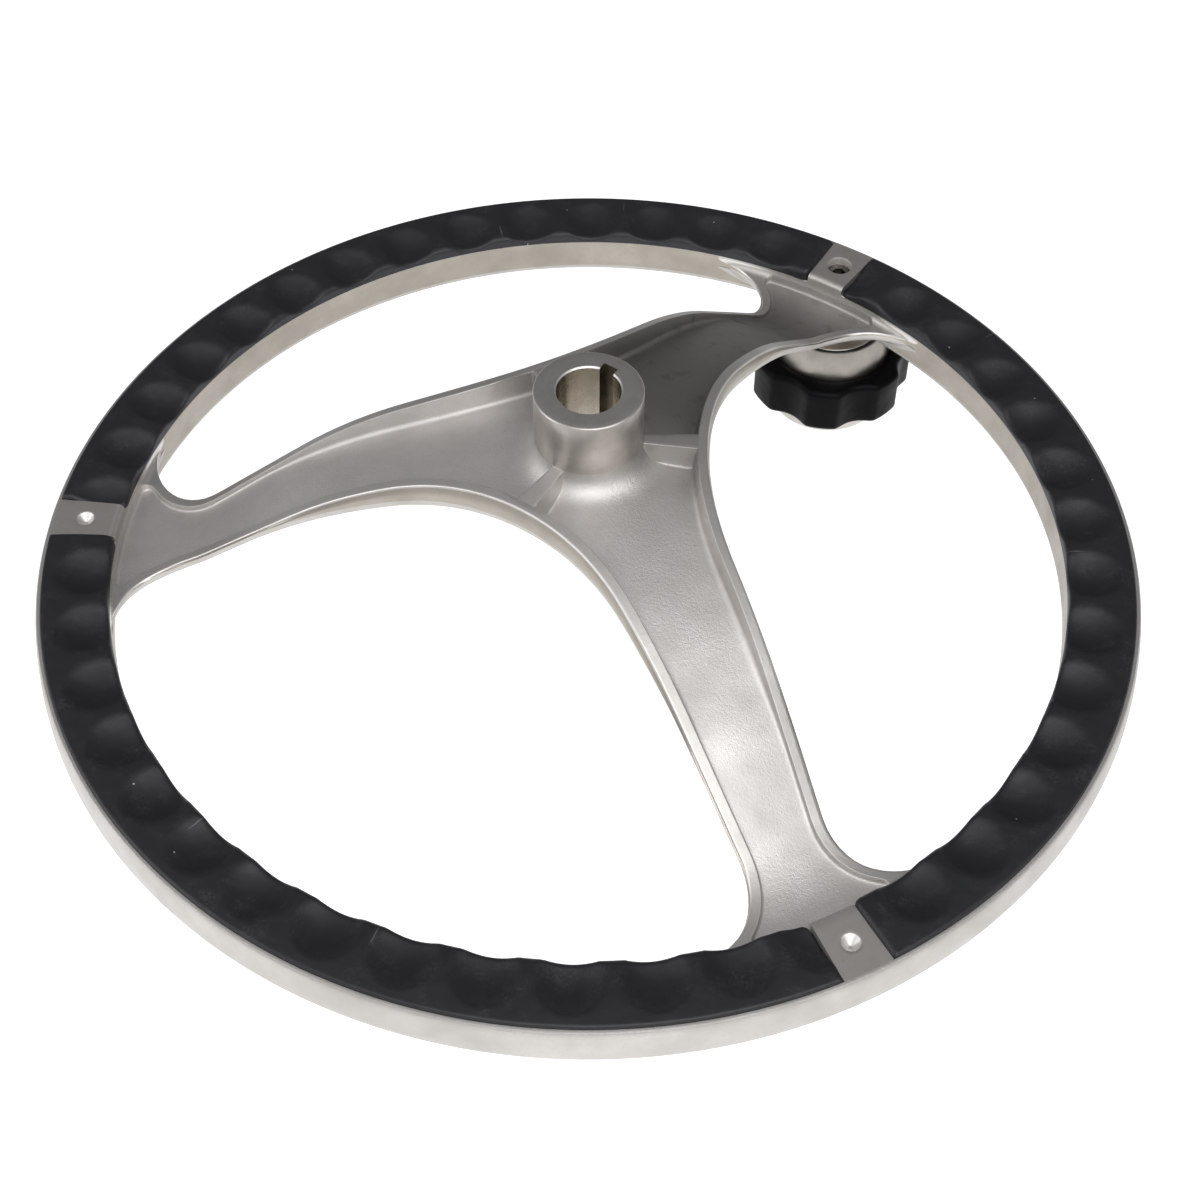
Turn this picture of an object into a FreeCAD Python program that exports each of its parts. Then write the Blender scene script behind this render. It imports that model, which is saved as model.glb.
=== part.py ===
import FreeCAD, Part
import math
import os
import re

import Sketcher

# Boat steering wheel: a dished stainless casting with three spokes, rubber grips and a spinner knob.
# The origin is the centre of the shaft bore at the rear face of the hub, and +Z points along the
# shaft. The rim lies below it by the depth of the dish. One spoke points along -X.

doc = FreeCAD.newDocument("boat_steering_wheel")
sheet = doc.addObject("Spreadsheet::Sheet", "Sizes")

# Driving dimensions, in millimetres, degrees and counts.
SIZES = {
    # Rim
    "rim_radius": 171.5,
    "rim_width": 22.6,
    "lip_inset": 1.2,
    "rim_height": 16.2,
    "belly_drop": 8.7,
    "rim_outer_round": 7.2,
    "rim_inner_round": 2.5,
    "dish_depth": 66.4,
    # Channel for the grips, and the three pads between them
    "lip_width": 1.2,
    "channel_wall": 2.5,
    "channel_depth": 10.2,
    "inner_wall_drop": 3.0,
    "pad_half_angle": 2.6,
    "pad_inset": 12.1,
    "pad_bevel": 2.0,
    "dimple_radius": 2.8,
    "dimple_depth": 1.9,
    "pilot_radius": 0.6,
    "spoke_count": 3,
    # Hub
    "boss_radius": 16.2,
    "front_boss_radius": 17.5,
    "hub_length": 41.0,
    "boss_round": 0.6,
    "bore_radius": 9.525,
    "bore_chamfer": 0.45,
    "key_width": 4.76,
    "key_depth": 2.3,
    # Dished spokes
    "shoulder_drop": 16.7,
    "crown_start": 10.0,
    "toe_run": 6.6,
    "web_slope_ratio": 1.7719,
    "toe_radius": 38.0,
    "toe_drop": 6.3,
    "hub_channel_depth": 8.6,
    "toe_channel_depth": 2.0,
    "web_thickness": 3.6,
    "toe_thickness": 4.0,
    "boss_foot_round": 7.0,
    "flange_width": 3.2,
    "window_reach": 35.3,
    "window_hub_round": 94.7,
    "window_corner_round": 21.3,
    "window_corner_turn": 44.288,
    "pocket_border": 0.5,
    "pocket_corner_round": 2.4,
    "rib_step": 2.1,
    "rib_width_at_boss": 3.7,
    "rib_width_at_flange": 6.6,
    # Rubber grips
    "grip_overhang": 0.3,
    "grip_side_gap": 0.1,
    "grip_end_gap": 0.04,
    "grip_crown": 1.6,
    "grip_inner_round": 2.4,
    "grip_outer_round": 1.4,
    "scoop_count": 14,
    "scoop_pitch": 8.35,
    "scoop_first": 51.4,
    "scoop_radius": 9.0,
    "scoop_run": 14.6,
    "scoop_depth": 3.6,
    "scoop_overrun": 4.0,
    # Knob screw through the pad
    "head_bore_radius": 4.25,
    "head_bore_depth": 7.2,
    "screw_radius": 2.5,
    "screw_clearance": 0.25,
    "screw_length": 18.0,
    "head_radius": 4.0,
    "head_height": 3.4,
    "hex_socket": 4.0,
    "hex_depth": 2.2,
    "lock_washer_thickness": 0.8,
    "thread_gap": 0.05,
    # Knob spindle
    "spot_radius": 9.0,
    "spot_depth": 0.5,
    "stem_radius": 8.0,
    "stem_length": 9.1,
    "disc_radius": 16.5,
    "disc_thickness": 3.0,
    "race_shoulder_radius": 5.5,
    "race_shoulder_height": 1.5,
    "journal_radius": 4.0,
    "running_gap": 0.05,
    "tap_depth": 15.0,
    # Ball bearings of the knob, 8 by 22 by 7
    "bearing_radius": 11.0,
    "bearing_width": 7.0,
    "race_wall": 2.1,
    "ball_radius": 1.98,
    "ball_count": 7,
    "ball_gap": 0.03,
    "cage_thickness": 1.0,
    "cage_height": 5.4,
    "cage_gap": 0.1,
    "bearing_spread": 8.5,
    "spacer_wall": 2.0,
    "washer_radius": 7.5,
    "washer_thickness": 1.2,
    "nut_flats": 10.0,
    "nut_height": 4.0,
    "nut_radius": 3.0,
    "stud_length": 4.8,
    "circlip_thickness": 0.9,
    "circlip_width": 1.8,
    # Knob body, lobed ring and cap
    "mouth_gap": 0.9,
    "mouth_wall": 0.6,
    "seal_gap": 0.1,
    "seal_height": 1.4,
    "cup_radius": 20.4,
    "cup_shoulder": 11.3,
    "cup_length": 31.7,
    "cup_dome_round": 28.0,
    "under_disc_gap": 0.8,
    "shoulder_bore_radius": 9.5,
    "circlip_groove": 0.8,
    "circlip_opening": 7.0,
    "ring_radius": 29.6,
    "ring_top": 10.4,
    "ring_height": 18.4,
    "ring_fit": 0.05,
    "lobe_count": 7,
    "lobe_cut_radius": 12.0,
    "lobe_cut_depth": 2.9,
    "lobe_turn": -18.0,
    "lobe_round": 5.0,
    "ring_edge_round": 2.4,
    "cap_wall": 1.15,
    "cap_gap": 0.4,
    "cap_base": 7.2,
    "cap_edge_round": 5.0,
    "cap_hollow_radius": 9.5,
    "cap_hollow_depth": 2.0,
    "cap_seal_radius": 16.0,
    "cap_seal_section": 1.2,
}
ALIAS = re.compile(r"[a-z][a-z0-9_]*")

for row, (alias, value) in enumerate(SIZES.items(), start=1):
    sheet.set(f"A{row}", alias)
    sheet.set(f"B{row}", str(value))
    sheet.setAlias(f"B{row}", alias)
doc.recompute()


def bound(text):
    """The text of a size rule with each alias pointing into the sheet."""
    def link(match):
        word = match.group(0)
        return f"Sizes.{word}" if word in SIZES else word
    return ALIAS.sub(link, text)


def value_of(text):
    """The number that a size rule gives now."""
    return float(sheet.evalExpression(bound(text)))


# Radii and heights that several pieces share, as rules on the sheet.
RIM_INNER = "(rim_radius - rim_width)"
LIP_RADIUS = "(rim_radius - lip_inset)"
PAD_RADIUS = "(rim_radius - pad_inset)"
TOE_START = f"({RIM_INNER} - toe_run)"
CORNER_OFFSET = f"(({RIM_INNER} - window_corner_round) * sin(window_corner_turn))"
LIP = "-dish_depth"
CHANNEL_FLOOR = f"{LIP} - channel_depth"
RIM_FRONT = f"{LIP} - rim_height"
SEAT = f"{RIM_FRONT} + spot_depth"
DISC_BACK = f"{SEAT} - stem_length"
DISC_FRONT = f"{DISC_BACK} - disc_thickness"
UPPER_RACE_TOP = f"{DISC_FRONT} - race_shoulder_height"
UPPER_RACE_END = f"{UPPER_RACE_TOP} - bearing_width"
LOWER_RACE_TOP = f"{UPPER_RACE_END} - bearing_spread"
LOWER_RACE_END = f"{LOWER_RACE_TOP} - bearing_width"
NUT_TOP = f"{LOWER_RACE_END} - washer_thickness"
CUP_TOP = DISC_BACK
CUP_END = f"{CUP_TOP} - cup_length"
RING_TOP = f"{CUP_TOP} - ring_top"
RING_END = f"{RING_TOP} - ring_height"
MOUTH = "disc_radius + mouth_gap"
HEAD_SEAT = f"{LIP} - head_bore_depth"


def new_body(label):
    body = doc.addObject("PartDesign::Body", label)
    body.Label = label
    return body


def plane(body, role):
    """An origin plane or axis of a body, found by its role."""
    return next(f for f in body.Origin.OriginFeatures if f.Role == role)


def new_sketch(body, name, role):
    sketch = body.newObject("Sketcher::SketchObject", name)
    sketch.AttachmentSupport = (plane(body, role), [""])
    sketch.MapMode = "FlatFace"
    return sketch


def bind(sketch, constraint, rule):
    """Adds a dimension to a sketch and ties it to its rule."""
    number = sketch.addConstraint(constraint)
    sketch.setExpression(f"Constraints[{number}]", bound(rule))


def section(body, name, role, corners):
    """A closed sketch whose corners are given as rules for their two distances.

    A corner with a third rule starts an arc of that radius, bulging away from the axis.
    """
    sketch = new_sketch(body, name, role)
    spots = [FreeCAD.Vector(value_of(corner[0]), value_of(corner[1]), 0) for corner in corners]
    count = len(spots)
    ends = []
    for k, corner in enumerate(corners):
        begin, end = spots[k], spots[(k + 1) % count]
        if len(corner) == 2:
            sketch.addGeometry(Part.LineSegment(begin, end), False)
            ends.append((1, 2))
        else:
            radius = value_of(corner[2])
            chord = end - begin
            side = FreeCAD.Vector(chord.y, -chord.x, 0) / chord.Length
            if side.x > 0:
                side = -side
            centre = (begin + end) / 2 + side * math.sqrt(radius ** 2 - chord.Length ** 2 / 4)
            turns = [math.degrees(math.atan2(p.y - centre.y, p.x - centre.x)) for p in (begin, end)]
            arc(sketch, centre.x, centre.y, radius, min(turns), max(turns))
            ends.append((1, 2) if turns[0] < turns[1] else (2, 1))
            bind(sketch, Sketcher.Constraint("Radius", k, radius), corner[2])
    for k in range(count):
        after = (k + 1) % count
        sketch.addConstraint(Sketcher.Constraint("Coincident", k, ends[k][1], after, ends[after][0]))
    for k, corner in enumerate(corners):
        bind(sketch, Sketcher.Constraint("DistanceX", -1, 1, k, ends[k][0], spots[k].x), corner[0])
        bind(sketch, Sketcher.Constraint("DistanceY", -1, 1, k, ends[k][0], spots[k].y), corner[1])
    return sketch


def circle(body, name, radius, x="0", y="0", height="0"):
    """A sketch of one circle at a height above the origin."""
    sketch = new_sketch(body, name, "XY_Plane")
    sketch.setExpression("AttachmentOffset.Base.z", bound(height))
    centre = FreeCAD.Vector(value_of(x), value_of(y), 0)
    sketch.addGeometry(Part.Circle(centre, FreeCAD.Vector(0, 0, 1), value_of(radius)), False)
    bind(sketch, Sketcher.Constraint("Radius", 0, value_of(radius)), radius)
    bind(sketch, Sketcher.Constraint("DistanceX", -1, 1, 0, 3, centre.x), x)
    bind(sketch, Sketcher.Constraint("DistanceY", -1, 1, 0, 3, centre.y), y)
    return sketch


def turn(body, sketch, name="Turned", kind="PartDesign::Revolution", angle=None):
    """A solid, or with Groove a cut, of revolution about the body's Z axis."""
    feature = body.newObject(kind, name)
    feature.Profile = sketch
    feature.ReferenceAxis = (sketch, ["V_Axis"])
    feature.Angle = 360.0
    if angle:
        feature.setExpression("Angle", bound(angle))
        feature.Midplane = True
    return feature


def cut_through(body, sketch, name):
    """A pocket through the whole body, both ways from its sketch."""
    pocket = body.newObject("PartDesign::Pocket", name)
    pocket.Profile = sketch
    pocket.Type = "ThroughAll"
    pocket.Midplane = True
    return pocket


def repeat(body, feature, name, count, angle="360"):
    """Copies of a feature about the body's Z axis."""
    pattern = body.newObject("PartDesign::PolarPattern", name)
    pattern.Originals = [feature]
    pattern.Axis = (plane(body, "Z_Axis"), [""])
    pattern.setExpression("Angle", bound(angle))
    pattern.setExpression("Occurrences", bound(count))
    body.Tip = pattern
    return pattern


def round_edges(body, name, radius, wanted):
    """A fillet on the edges of the body's last feature that a test picks."""
    doc.recompute()
    base = body.Tip
    names = [f"Edge{k}" for k, edge in enumerate(base.Shape.Edges, start=1) if wanted(edge)]
    fillet = body.newObject("PartDesign::Fillet", name)
    fillet.Base = (base, names)
    fillet.setExpression("Radius", bound(radius))
    body.Tip = fillet
    return fillet


def circle_at(radius, height):
    """A test for full or part circles about the Z axis of one radius at one height."""
    want_radius = value_of(radius)
    want_height = value_of(height)

    def wanted(edge):
        curve = edge.Curve
        if curve.TypeId != "Part::GeomCircle":
            return False
        return (abs(curve.Radius - want_radius) < 0.01 and abs(curve.Center.z - want_height) < 0.01
                and math.hypot(curve.Center.x, curve.Center.y) < 0.01)
    return wanted


def place_on_knob_axis(body):
    """The knob stands on the spoke that points 60 degrees round from +X."""
    body.setExpression("Placement.Base.x", bound(f"{PAD_RADIUS} * cos(180 / spoke_count)"))
    body.setExpression("Placement.Base.y", bound(f"{PAD_RADIUS} * sin(180 / spoke_count)"))


def turned_piece(label, corners, on_knob=True):
    """A turned piece: one closed section, revolved a full turn."""
    body = new_body(label)
    sketch = section(body, "Section", "XZ_Plane", corners)
    turn(body, sketch)
    if on_knob:
        place_on_knob_axis(body)
    return body


# Dished lines

FLANGE_AT_HUB = "-shoulder_drop"
FLANGE_AT_RIM = f"{LIP} - toe_drop"
FLOOR_AT_HUB = f"{FLANGE_AT_HUB} - hub_channel_depth"
FLOOR_AT_RIM = f"{FLANGE_AT_RIM} - toe_channel_depth"
FRONT_AT_HUB = f"{FLOOR_AT_HUB} - web_thickness"
FRONT_AT_RIM = f"{FLOOR_AT_RIM} - toe_thickness"
WEB_GRADE = f"(web_slope_ratio * ({FLANGE_AT_HUB} - ({FLANGE_AT_RIM})) / ({TOE_START} - crown_start))"


def tangent(sketch, first, first_end, second, second_end):
    sketch.addConstraint(Sketcher.Constraint("Tangent", first, first_end, second, second_end))


def arc(sketch, x, y, radius, begin, end):
    """Adds an anticlockwise arc, its angles in degrees."""
    round_line = Part.Circle(FreeCAD.Vector(x, y, 0), FreeCAD.Vector(0, 0, 1), radius)
    return sketch.addGeometry(Part.ArcOfCircle(round_line, math.radians(begin), math.radians(end)), False)


def line(sketch, begin, end):
    return sketch.addGeometry(Part.LineSegment(FreeCAD.Vector(*begin, 0), FreeCAD.Vector(*end, 0)), False)


def dished_line(sketch, top, toe, outer):
    """Adds a line from the axis out: level, crown arc, slope, toe arc, level.

    The slope is a set number of times as steep as the flange's mean fall, and the toe keeps its
    radius, so the crown's radius follows from run and drop. Returns the line's first and last piece.
    """
    top_z, toe_z, outer_x = value_of(top), value_of(toe), value_of(outer)
    near, far = value_of("crown_start"), value_of(TOE_START)
    degrees = math.degrees(math.atan(value_of(WEB_GRADE)))
    sine, cosine = math.sin(math.radians(degrees)), math.cos(math.radians(degrees))
    foot = value_of("toe_radius")
    crown = ((far - near) * sine - (top_z - toe_z) * cosine) / (1 - cosine) - foot
    crown_end = (near + crown * sine, top_z - crown * (1 - cosine))
    toe_begin = (far - foot * sine, toe_z + foot * (1 - cosine))
    level = line(sketch, (0, top_z), (near, top_z))
    crown_arc = arc(sketch, near, top_z - crown, crown, 90 - degrees, 90)
    slope = line(sketch, crown_end, toe_begin)
    toe_arc = arc(sketch, far, toe_z + foot, foot, 270 - degrees, 270)
    flat = line(sketch, (far, toe_z), (outer_x, toe_z))
    sketch.addConstraint(Sketcher.Constraint("Horizontal", level))
    sketch.addConstraint(Sketcher.Constraint("Horizontal", flat))
    tangent(sketch, level, 2, crown_arc, 2)
    tangent(sketch, crown_arc, 1, slope, 1)
    tangent(sketch, slope, 2, toe_arc, 1)
    tangent(sketch, toe_arc, 2, flat, 1)
    sketch.addConstraint(Sketcher.Constraint("PointOnObject", level, 1, -2))
    bind(sketch, Sketcher.Constraint("DistanceY", -1, 1, level, 1, top_z), top)
    bind(sketch, Sketcher.Constraint("DistanceY", -1, 1, flat, 2, toe_z), toe)
    bind(sketch, Sketcher.Constraint("DistanceX", -1, 1, level, 2, near), "crown_start")
    bind(sketch, Sketcher.Constraint("DistanceX", -1, 1, flat, 1, far), TOE_START)
    bind(sketch, Sketcher.Constraint("DistanceX", -1, 1, flat, 2, outer_x), outer)
    bind(sketch, Sketcher.Constraint("Radius", toe_arc, foot), "toe_radius")
    bind(sketch, Sketcher.Constraint("Angle", slope, -math.radians(degrees)), f"-atan({WEB_GRADE})")
    return level, flat


def window(body, name, growth="0"):
    """The opening between two spokes, about +X: hub arc, straight sides, corners and rim arc.

    All its stretches are tangent. A growth moves the outline outwards by that much.
    """
    sketch = new_sketch(body, name, "XY_Plane")
    rim = value_of(RIM_INNER)
    corner = value_of("window_corner_round")
    hub = value_of("window_hub_round")
    hub_x = value_of("window_reach") + hub
    corner_y = value_of(CORNER_OFFSET)
    corner_x = math.sqrt((rim - corner) ** 2 - corner_y ** 2)
    grow = value_of(growth)
    apart = math.hypot(corner_x - hub_x, corner_y)
    side = math.degrees(math.atan2(corner_y, corner_x - hub_x) + math.acos((hub - corner) / apart))
    swing = math.degrees(math.atan2(corner_y, corner_x))

    def on_circle(x, y, radius, degrees):
        turned = math.radians(degrees)
        return (x + radius * math.cos(turned), y + radius * math.sin(turned))

    rim_arc = arc(sketch, 0, 0, rim + grow, -swing, swing)
    upper = arc(sketch, corner_x, corner_y, corner + grow, swing, side)
    upper_side = line(sketch, on_circle(corner_x, corner_y, corner + grow, side),
                      on_circle(hub_x, 0, hub + grow, side))
    hub_arc = arc(sketch, hub_x, 0, hub + grow, side, 360 - side)
    lower_side = line(sketch, on_circle(hub_x, 0, hub + grow, -side),
                      on_circle(corner_x, -corner_y, corner + grow, -side))
    lower = arc(sketch, corner_x, -corner_y, corner + grow, 360 - side, 360 - swing)
    loop = [rim_arc, upper, upper_side, hub_arc, lower_side, lower]
    for k, piece in enumerate(loop):
        tangent(sketch, piece, 2, loop[(k + 1) % len(loop)], 1)
    sketch.addConstraint(Sketcher.Constraint("Coincident", rim_arc, 3, -1, 1))
    sketch.addConstraint(Sketcher.Constraint("PointOnObject", hub_arc, 3, -1))
    bind(sketch, Sketcher.Constraint("Radius", rim_arc, rim + grow), f"{RIM_INNER} + {growth}")
    bind(sketch, Sketcher.Constraint("Radius", hub_arc, hub + grow), f"window_hub_round + {growth}")
    bind(sketch, Sketcher.Constraint("DistanceX", -1, 1, hub_arc, 3, hub_x),
         "window_reach + window_hub_round")
    for corner_arc, place in ((upper, CORNER_OFFSET), (lower, f"-{CORNER_OFFSET}")):
        bind(sketch, Sketcher.Constraint("Radius", corner_arc, corner + grow),
             f"window_corner_round + {growth}")
        bind(sketch, Sketcher.Constraint("DistanceY", -1, 1, corner_arc, 3, value_of(place)), place)
    return sketch


def close_sides(sketch, upper, lower):
    """Joins the ends of two lines that both run out from the axis into one closed section."""
    def point(piece, end):
        where = sketch.getPoint(piece, end)
        return (where.x, where.y)

    inside = line(sketch, point(upper[0], 1), point(lower[0], 1))
    outside = line(sketch, point(upper[1], 2), point(lower[1], 2))
    for side, top, bottom in ((inside, (upper[0], 1), (lower[0], 1)), (outside, (upper[1], 2), (lower[1], 2))):
        sketch.addConstraint(Sketcher.Constraint("Coincident", side, 1, *top))
        sketch.addConstraint(Sketcher.Constraint("Coincident", side, 2, *bottom))


# Wheel casting

def channel_core():
    """The hollow between the flanges of the spokes: over the floor, inside the flanges, off the ribs."""
    body = new_body("channel_core")
    sketch = new_sketch(body, "FloorAndTop", "XZ_Plane")
    outer = f"{RIM_INNER} - pocket_border"
    floor = dished_line(sketch, FLOOR_AT_HUB, FLOOR_AT_RIM, outer)
    high = value_of(FLANGE_AT_HUB) + value_of("hub_channel_depth")
    top = line(sketch, (0, high), (value_of(outer), high))
    bind(sketch, Sketcher.Constraint("DistanceY", -1, 1, top, 1, high), f"{FLANGE_AT_HUB} + hub_channel_depth")
    sketch.addConstraint(Sketcher.Constraint("Horizontal", top))
    sketch.addConstraint(Sketcher.Constraint("PointOnObject", top, 1, -2))
    close_sides(sketch, (top, top), floor)
    sketch.addConstraint(Sketcher.Constraint("Vertical", top + 2))
    turn(body, sketch, "OverTheFloor")
    boss = circle(body, "BossCircle", "boss_radius")
    cut_through(body, boss, "RoundTheBoss")

    def boss_foot(edge):
        box = edge.BoundBox
        round_the_boss = abs(box.YMax - value_of("boss_radius")) < 0.1 and box.XMin < 0
        return round_the_boss and box.ZMax < value_of(FLANGE_AT_HUB)
    round_edges(body, "BossFoot", "boss_foot_round", boss_foot)
    grown = window(body, "FlangeLine", "flange_width")
    flanges = cut_through(body, grown, "InsideTheFlanges")
    repeat(body, flanges, "AllFlanges", "spoke_count")

    def pocket_corner(edge):
        box = edge.BoundBox
        upright = edge.Curve.TypeId == "Part::GeomLine" and box.XLength + box.YLength < 0.01
        return upright and abs(math.hypot(box.Center.x, box.Center.y) - value_of(outer)) < 0.1
    round_edges(body, "PocketCorners", "pocket_corner_round", pocket_corner)
    half_near, half_far = "rib_width_at_boss / 2", "rib_width_at_flange / 2"
    near, far = "boss_radius - 1", "window_reach"
    rib_plan = section(body, "RibPlan", "XY_Plane", [
        (near, f"-{half_near}"), (far, f"-{half_far}"), (far, half_far), (near, half_near)])
    rib = cut_through(body, rib_plan, "Rib")
    repeat(body, rib, "AllRibs", "spoke_count")
    return body


def circle_at_radius(radius):
    """A test for full or part circles about the Z axis of one radius."""
    want = value_of(radius)

    def wanted(edge):
        curve = edge.Curve
        return (curve.TypeId == "Part::GeomCircle" and abs(curve.Radius - want) < 0.01
                and math.hypot(curve.Center.x, curve.Center.y) < 0.01)
    return wanted


def pad_spot(turn_rule):
    """Rules for the place of a pad's centre, a number of degrees round from +X."""
    return f"{PAD_RADIUS} * cos({turn_rule})", f"{PAD_RADIUS} * sin({turn_rule})"


def pad_dimple(body, name, turn_rule):
    """The cone that a centre drill leaves in a pad."""
    cone = body.newObject("PartDesign::SubtractiveCone", name)
    cone.setExpression("Radius1", bound("pilot_radius"))
    cone.setExpression("Radius2", bound("dimple_radius"))
    cone.setExpression("Height", bound("dimple_depth"))
    x, y = pad_spot(turn_rule)
    cone.setExpression("Placement.Base.x", bound(x))
    cone.setExpression("Placement.Base.y", bound(y))
    cone.setExpression("Placement.Base.z", bound(f"{LIP} - dimple_depth"))
    body.Tip = cone


def cut_down(body, sketch, name, depth):
    """A pocket straight down from its sketch."""
    pocket = body.newObject("PartDesign::Pocket", name)
    pocket.Profile = sketch
    pocket.Type = "Length"
    pocket.setExpression("Length", bound(depth))
    return pocket


def wheel_casting():
    core = channel_core()
    body = new_body("wheel_casting")
    rim = section(body, "RimSection", "XZ_Plane", [
        (RIM_INNER, f"{LIP} - inner_wall_drop"),
        (f"{RIM_INNER} + pad_bevel", LIP),
        (LIP_RADIUS, LIP),
        ("rim_radius", f"{LIP} - belly_drop"),
        ("rim_radius", RIM_FRONT),
        (RIM_INNER, RIM_FRONT),
    ])
    turn(body, rim, "Rim")
    round_edges(body, "RimOuterRound", "rim_outer_round", circle_at("rim_radius", RIM_FRONT))
    round_edges(body, "RimInnerRound", "rim_inner_round", circle_at(RIM_INNER, RIM_FRONT))

    web = new_sketch(body, "WebSection", "XZ_Plane")
    outer = f"{RIM_INNER} + channel_wall / 2"
    back = dished_line(web, FLANGE_AT_HUB, FLANGE_AT_RIM, outer)
    front = dished_line(web, FRONT_AT_HUB, FRONT_AT_RIM, outer)
    close_sides(web, back, front)
    turn(body, web, "DishedWeb")
    opening = cut_through(body, window(body, "WindowLine"), "Window")
    repeat(body, opening, "Windows", "spoke_count")
    rib_top = f"{FLANGE_AT_HUB} - rib_step"
    rib_top_line = section(body, "RibTopLine", "XZ_Plane", [
        ("0", rib_top), ("window_reach", rib_top), ("window_reach", "0"), ("0", "0")])
    turn(body, rib_top_line, "RibTops", "PartDesign::Groove")

    boss = section(body, "BossSection", "XZ_Plane", [
        ("0", "0"), ("boss_radius", "0"), ("boss_radius", FLOOR_AT_HUB),
        ("front_boss_radius", FRONT_AT_HUB), ("front_boss_radius", "-hub_length"), ("0", "-hub_length")])
    turn(body, boss, "Boss")
    round_edges(body, "BossRound", "boss_round", circle_at("boss_radius", "0"))

    doc.recompute()
    hollow = body.newObject("PartDesign::Boolean", "ChannelHollow")
    hollow.Type = "Cut"
    hollow.setObjects([core])
    body.Tip = hollow

    inner = f"{RIM_INNER} - grip_overhang - channel_wall"
    wall = f"{RIM_INNER} + channel_wall"
    lip = f"{LIP_RADIUS} - lip_width"
    above = f"{LIP} + channel_wall"
    groove_line = section(body, "ChannelLine", "XZ_Plane", [
        (inner, above), (lip, above), (lip, CHANNEL_FLOOR), (wall, CHANNEL_FLOOR),
        (wall, f"{LIP} - inner_wall_drop"), (inner, f"{LIP} - inner_wall_drop")])
    groove = turn(body, groove_line, "GripChannel", "PartDesign::Groove",
                  "360 / spoke_count - 2 * pad_half_angle")
    repeat(body, groove, "GripChannels", "spoke_count")

    cut_through(body, circle(body, "BoreCircle", "bore_radius"), "ShaftBore")
    mouth = body.newObject("PartDesign::SubtractiveCone", "BoreMouth")
    mouth.setExpression("Radius1", bound("bore_radius"))
    mouth.setExpression("Radius2", bound("bore_radius + bore_chamfer"))
    mouth.setExpression("Height", bound("bore_chamfer"))
    mouth.setExpression("Placement.Base.z", bound("-bore_chamfer"))
    body.Tip = mouth
    key_end = "bore_radius + key_depth"
    key_line = section(body, "KeyLine", "XY_Plane", [
        ("0", "-key_width / 2"), (key_end, "-key_width / 2"), (key_end, "key_width / 2"),
        ("0", "key_width / 2")])
    key_line.setExpression("AttachmentOffset.Rotation.Angle", bound("180 / spoke_count * 1 deg"))
    cut_through(body, key_line, "Keyway")

    screw_turn = "180 / spoke_count"
    x, y = pad_spot(screw_turn)
    head = circle(body, "HeadBoreCircle", "head_bore_radius", x, y, LIP)
    cut_down(body, head, "HeadBore", "head_bore_depth")
    cut_through(body, circle(body, "ScrewHoleCircle", "screw_radius + screw_clearance", x, y), "ScrewHole")
    seat = circle(body, "SpotCircle", "spot_radius", x, y, SEAT)
    spot = cut_down(body, seat, "SpotFace", "rim_height")
    pad_dimple(body, "LeftDimple", "180")
    pad_dimple(body, "LowerDimple", "-60")
    return spot


def grip(label, turn_rule):
    """A rubber strip that fills one channel, scooped for the fingers along its inner edge."""
    body = new_body(label)
    inner = f"{RIM_INNER} - grip_overhang"
    wall = f"{RIM_INNER} + channel_wall + grip_side_gap"
    outer = f"{LIP_RADIUS} - lip_width - grip_side_gap"
    crown = f"{LIP} + grip_crown"
    strip = section(body, "StripSection", "XZ_Plane", [
        (wall, CHANNEL_FLOOR), (outer, CHANNEL_FLOOR), (outer, crown), (inner, crown),
        (inner, f"{LIP} - inner_wall_drop"), (wall, f"{LIP} - inner_wall_drop")])
    turn(body, strip, "Strip", angle="360 / spoke_count - 2 * pad_half_angle - 2 * grip_end_gap")
    round_edges(body, "InnerRound", "grip_inner_round", circle_at(inner, crown))
    round_edges(body, "OuterRound", "grip_outer_round", circle_at(outer, crown))

    run, depth, overrun = value_of("scoop_run"), value_of("scoop_depth"), value_of("scoop_overrun")
    reach = value_of(RIM_INNER) + run
    tilt = math.atan2(depth, reach - value_of(inner))
    inward = FreeCAD.Vector(-math.cos(tilt), 0, -math.sin(tilt))
    upward = FreeCAD.Vector(-math.sin(tilt), 0, math.cos(tilt))
    start = FreeCAD.Vector(reach, 0, value_of(crown)) - inward * overrun + upward * value_of("scoop_radius")
    lie = FreeCAD.Rotation(FreeCAD.Vector(0, 1, 0), -90 - math.degrees(tilt))
    first = FreeCAD.Placement(FreeCAD.Vector(), FreeCAD.Rotation(FreeCAD.Vector(0, 0, 1),
                                                                -value_of("scoop_first")))
    scoop = body.newObject("PartDesign::SubtractiveCylinder", "Scoop")
    scoop.setExpression("Radius", bound("scoop_radius"))
    scoop.setExpression("Height", bound("scoop_run + grip_overhang + 2 * scoop_overrun"))
    scoop.Placement = first.multiply(FreeCAD.Placement(start, lie))
    body.Tip = scoop
    repeat(body, scoop, "Scoops", "scoop_count", "(scoop_count - 1) * scoop_pitch")
    body.setExpression("Placement.Rotation.Angle", bound(f"({turn_rule}) * 1 deg"))
    return body


# Knob screw and spindle

def hexagon(body, name, flats, height):
    """A six-sided sketch, measured across its flats."""
    corners = [(f"{flats} / 2 / cos(30) * cos({60 * k})", f"{flats} / 2 / cos(30) * sin({60 * k})")
               for k in range(6)]
    sketch = section(body, name, "XY_Plane", corners)
    sketch.setExpression("AttachmentOffset.Base.z", bound(height))
    return sketch


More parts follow.
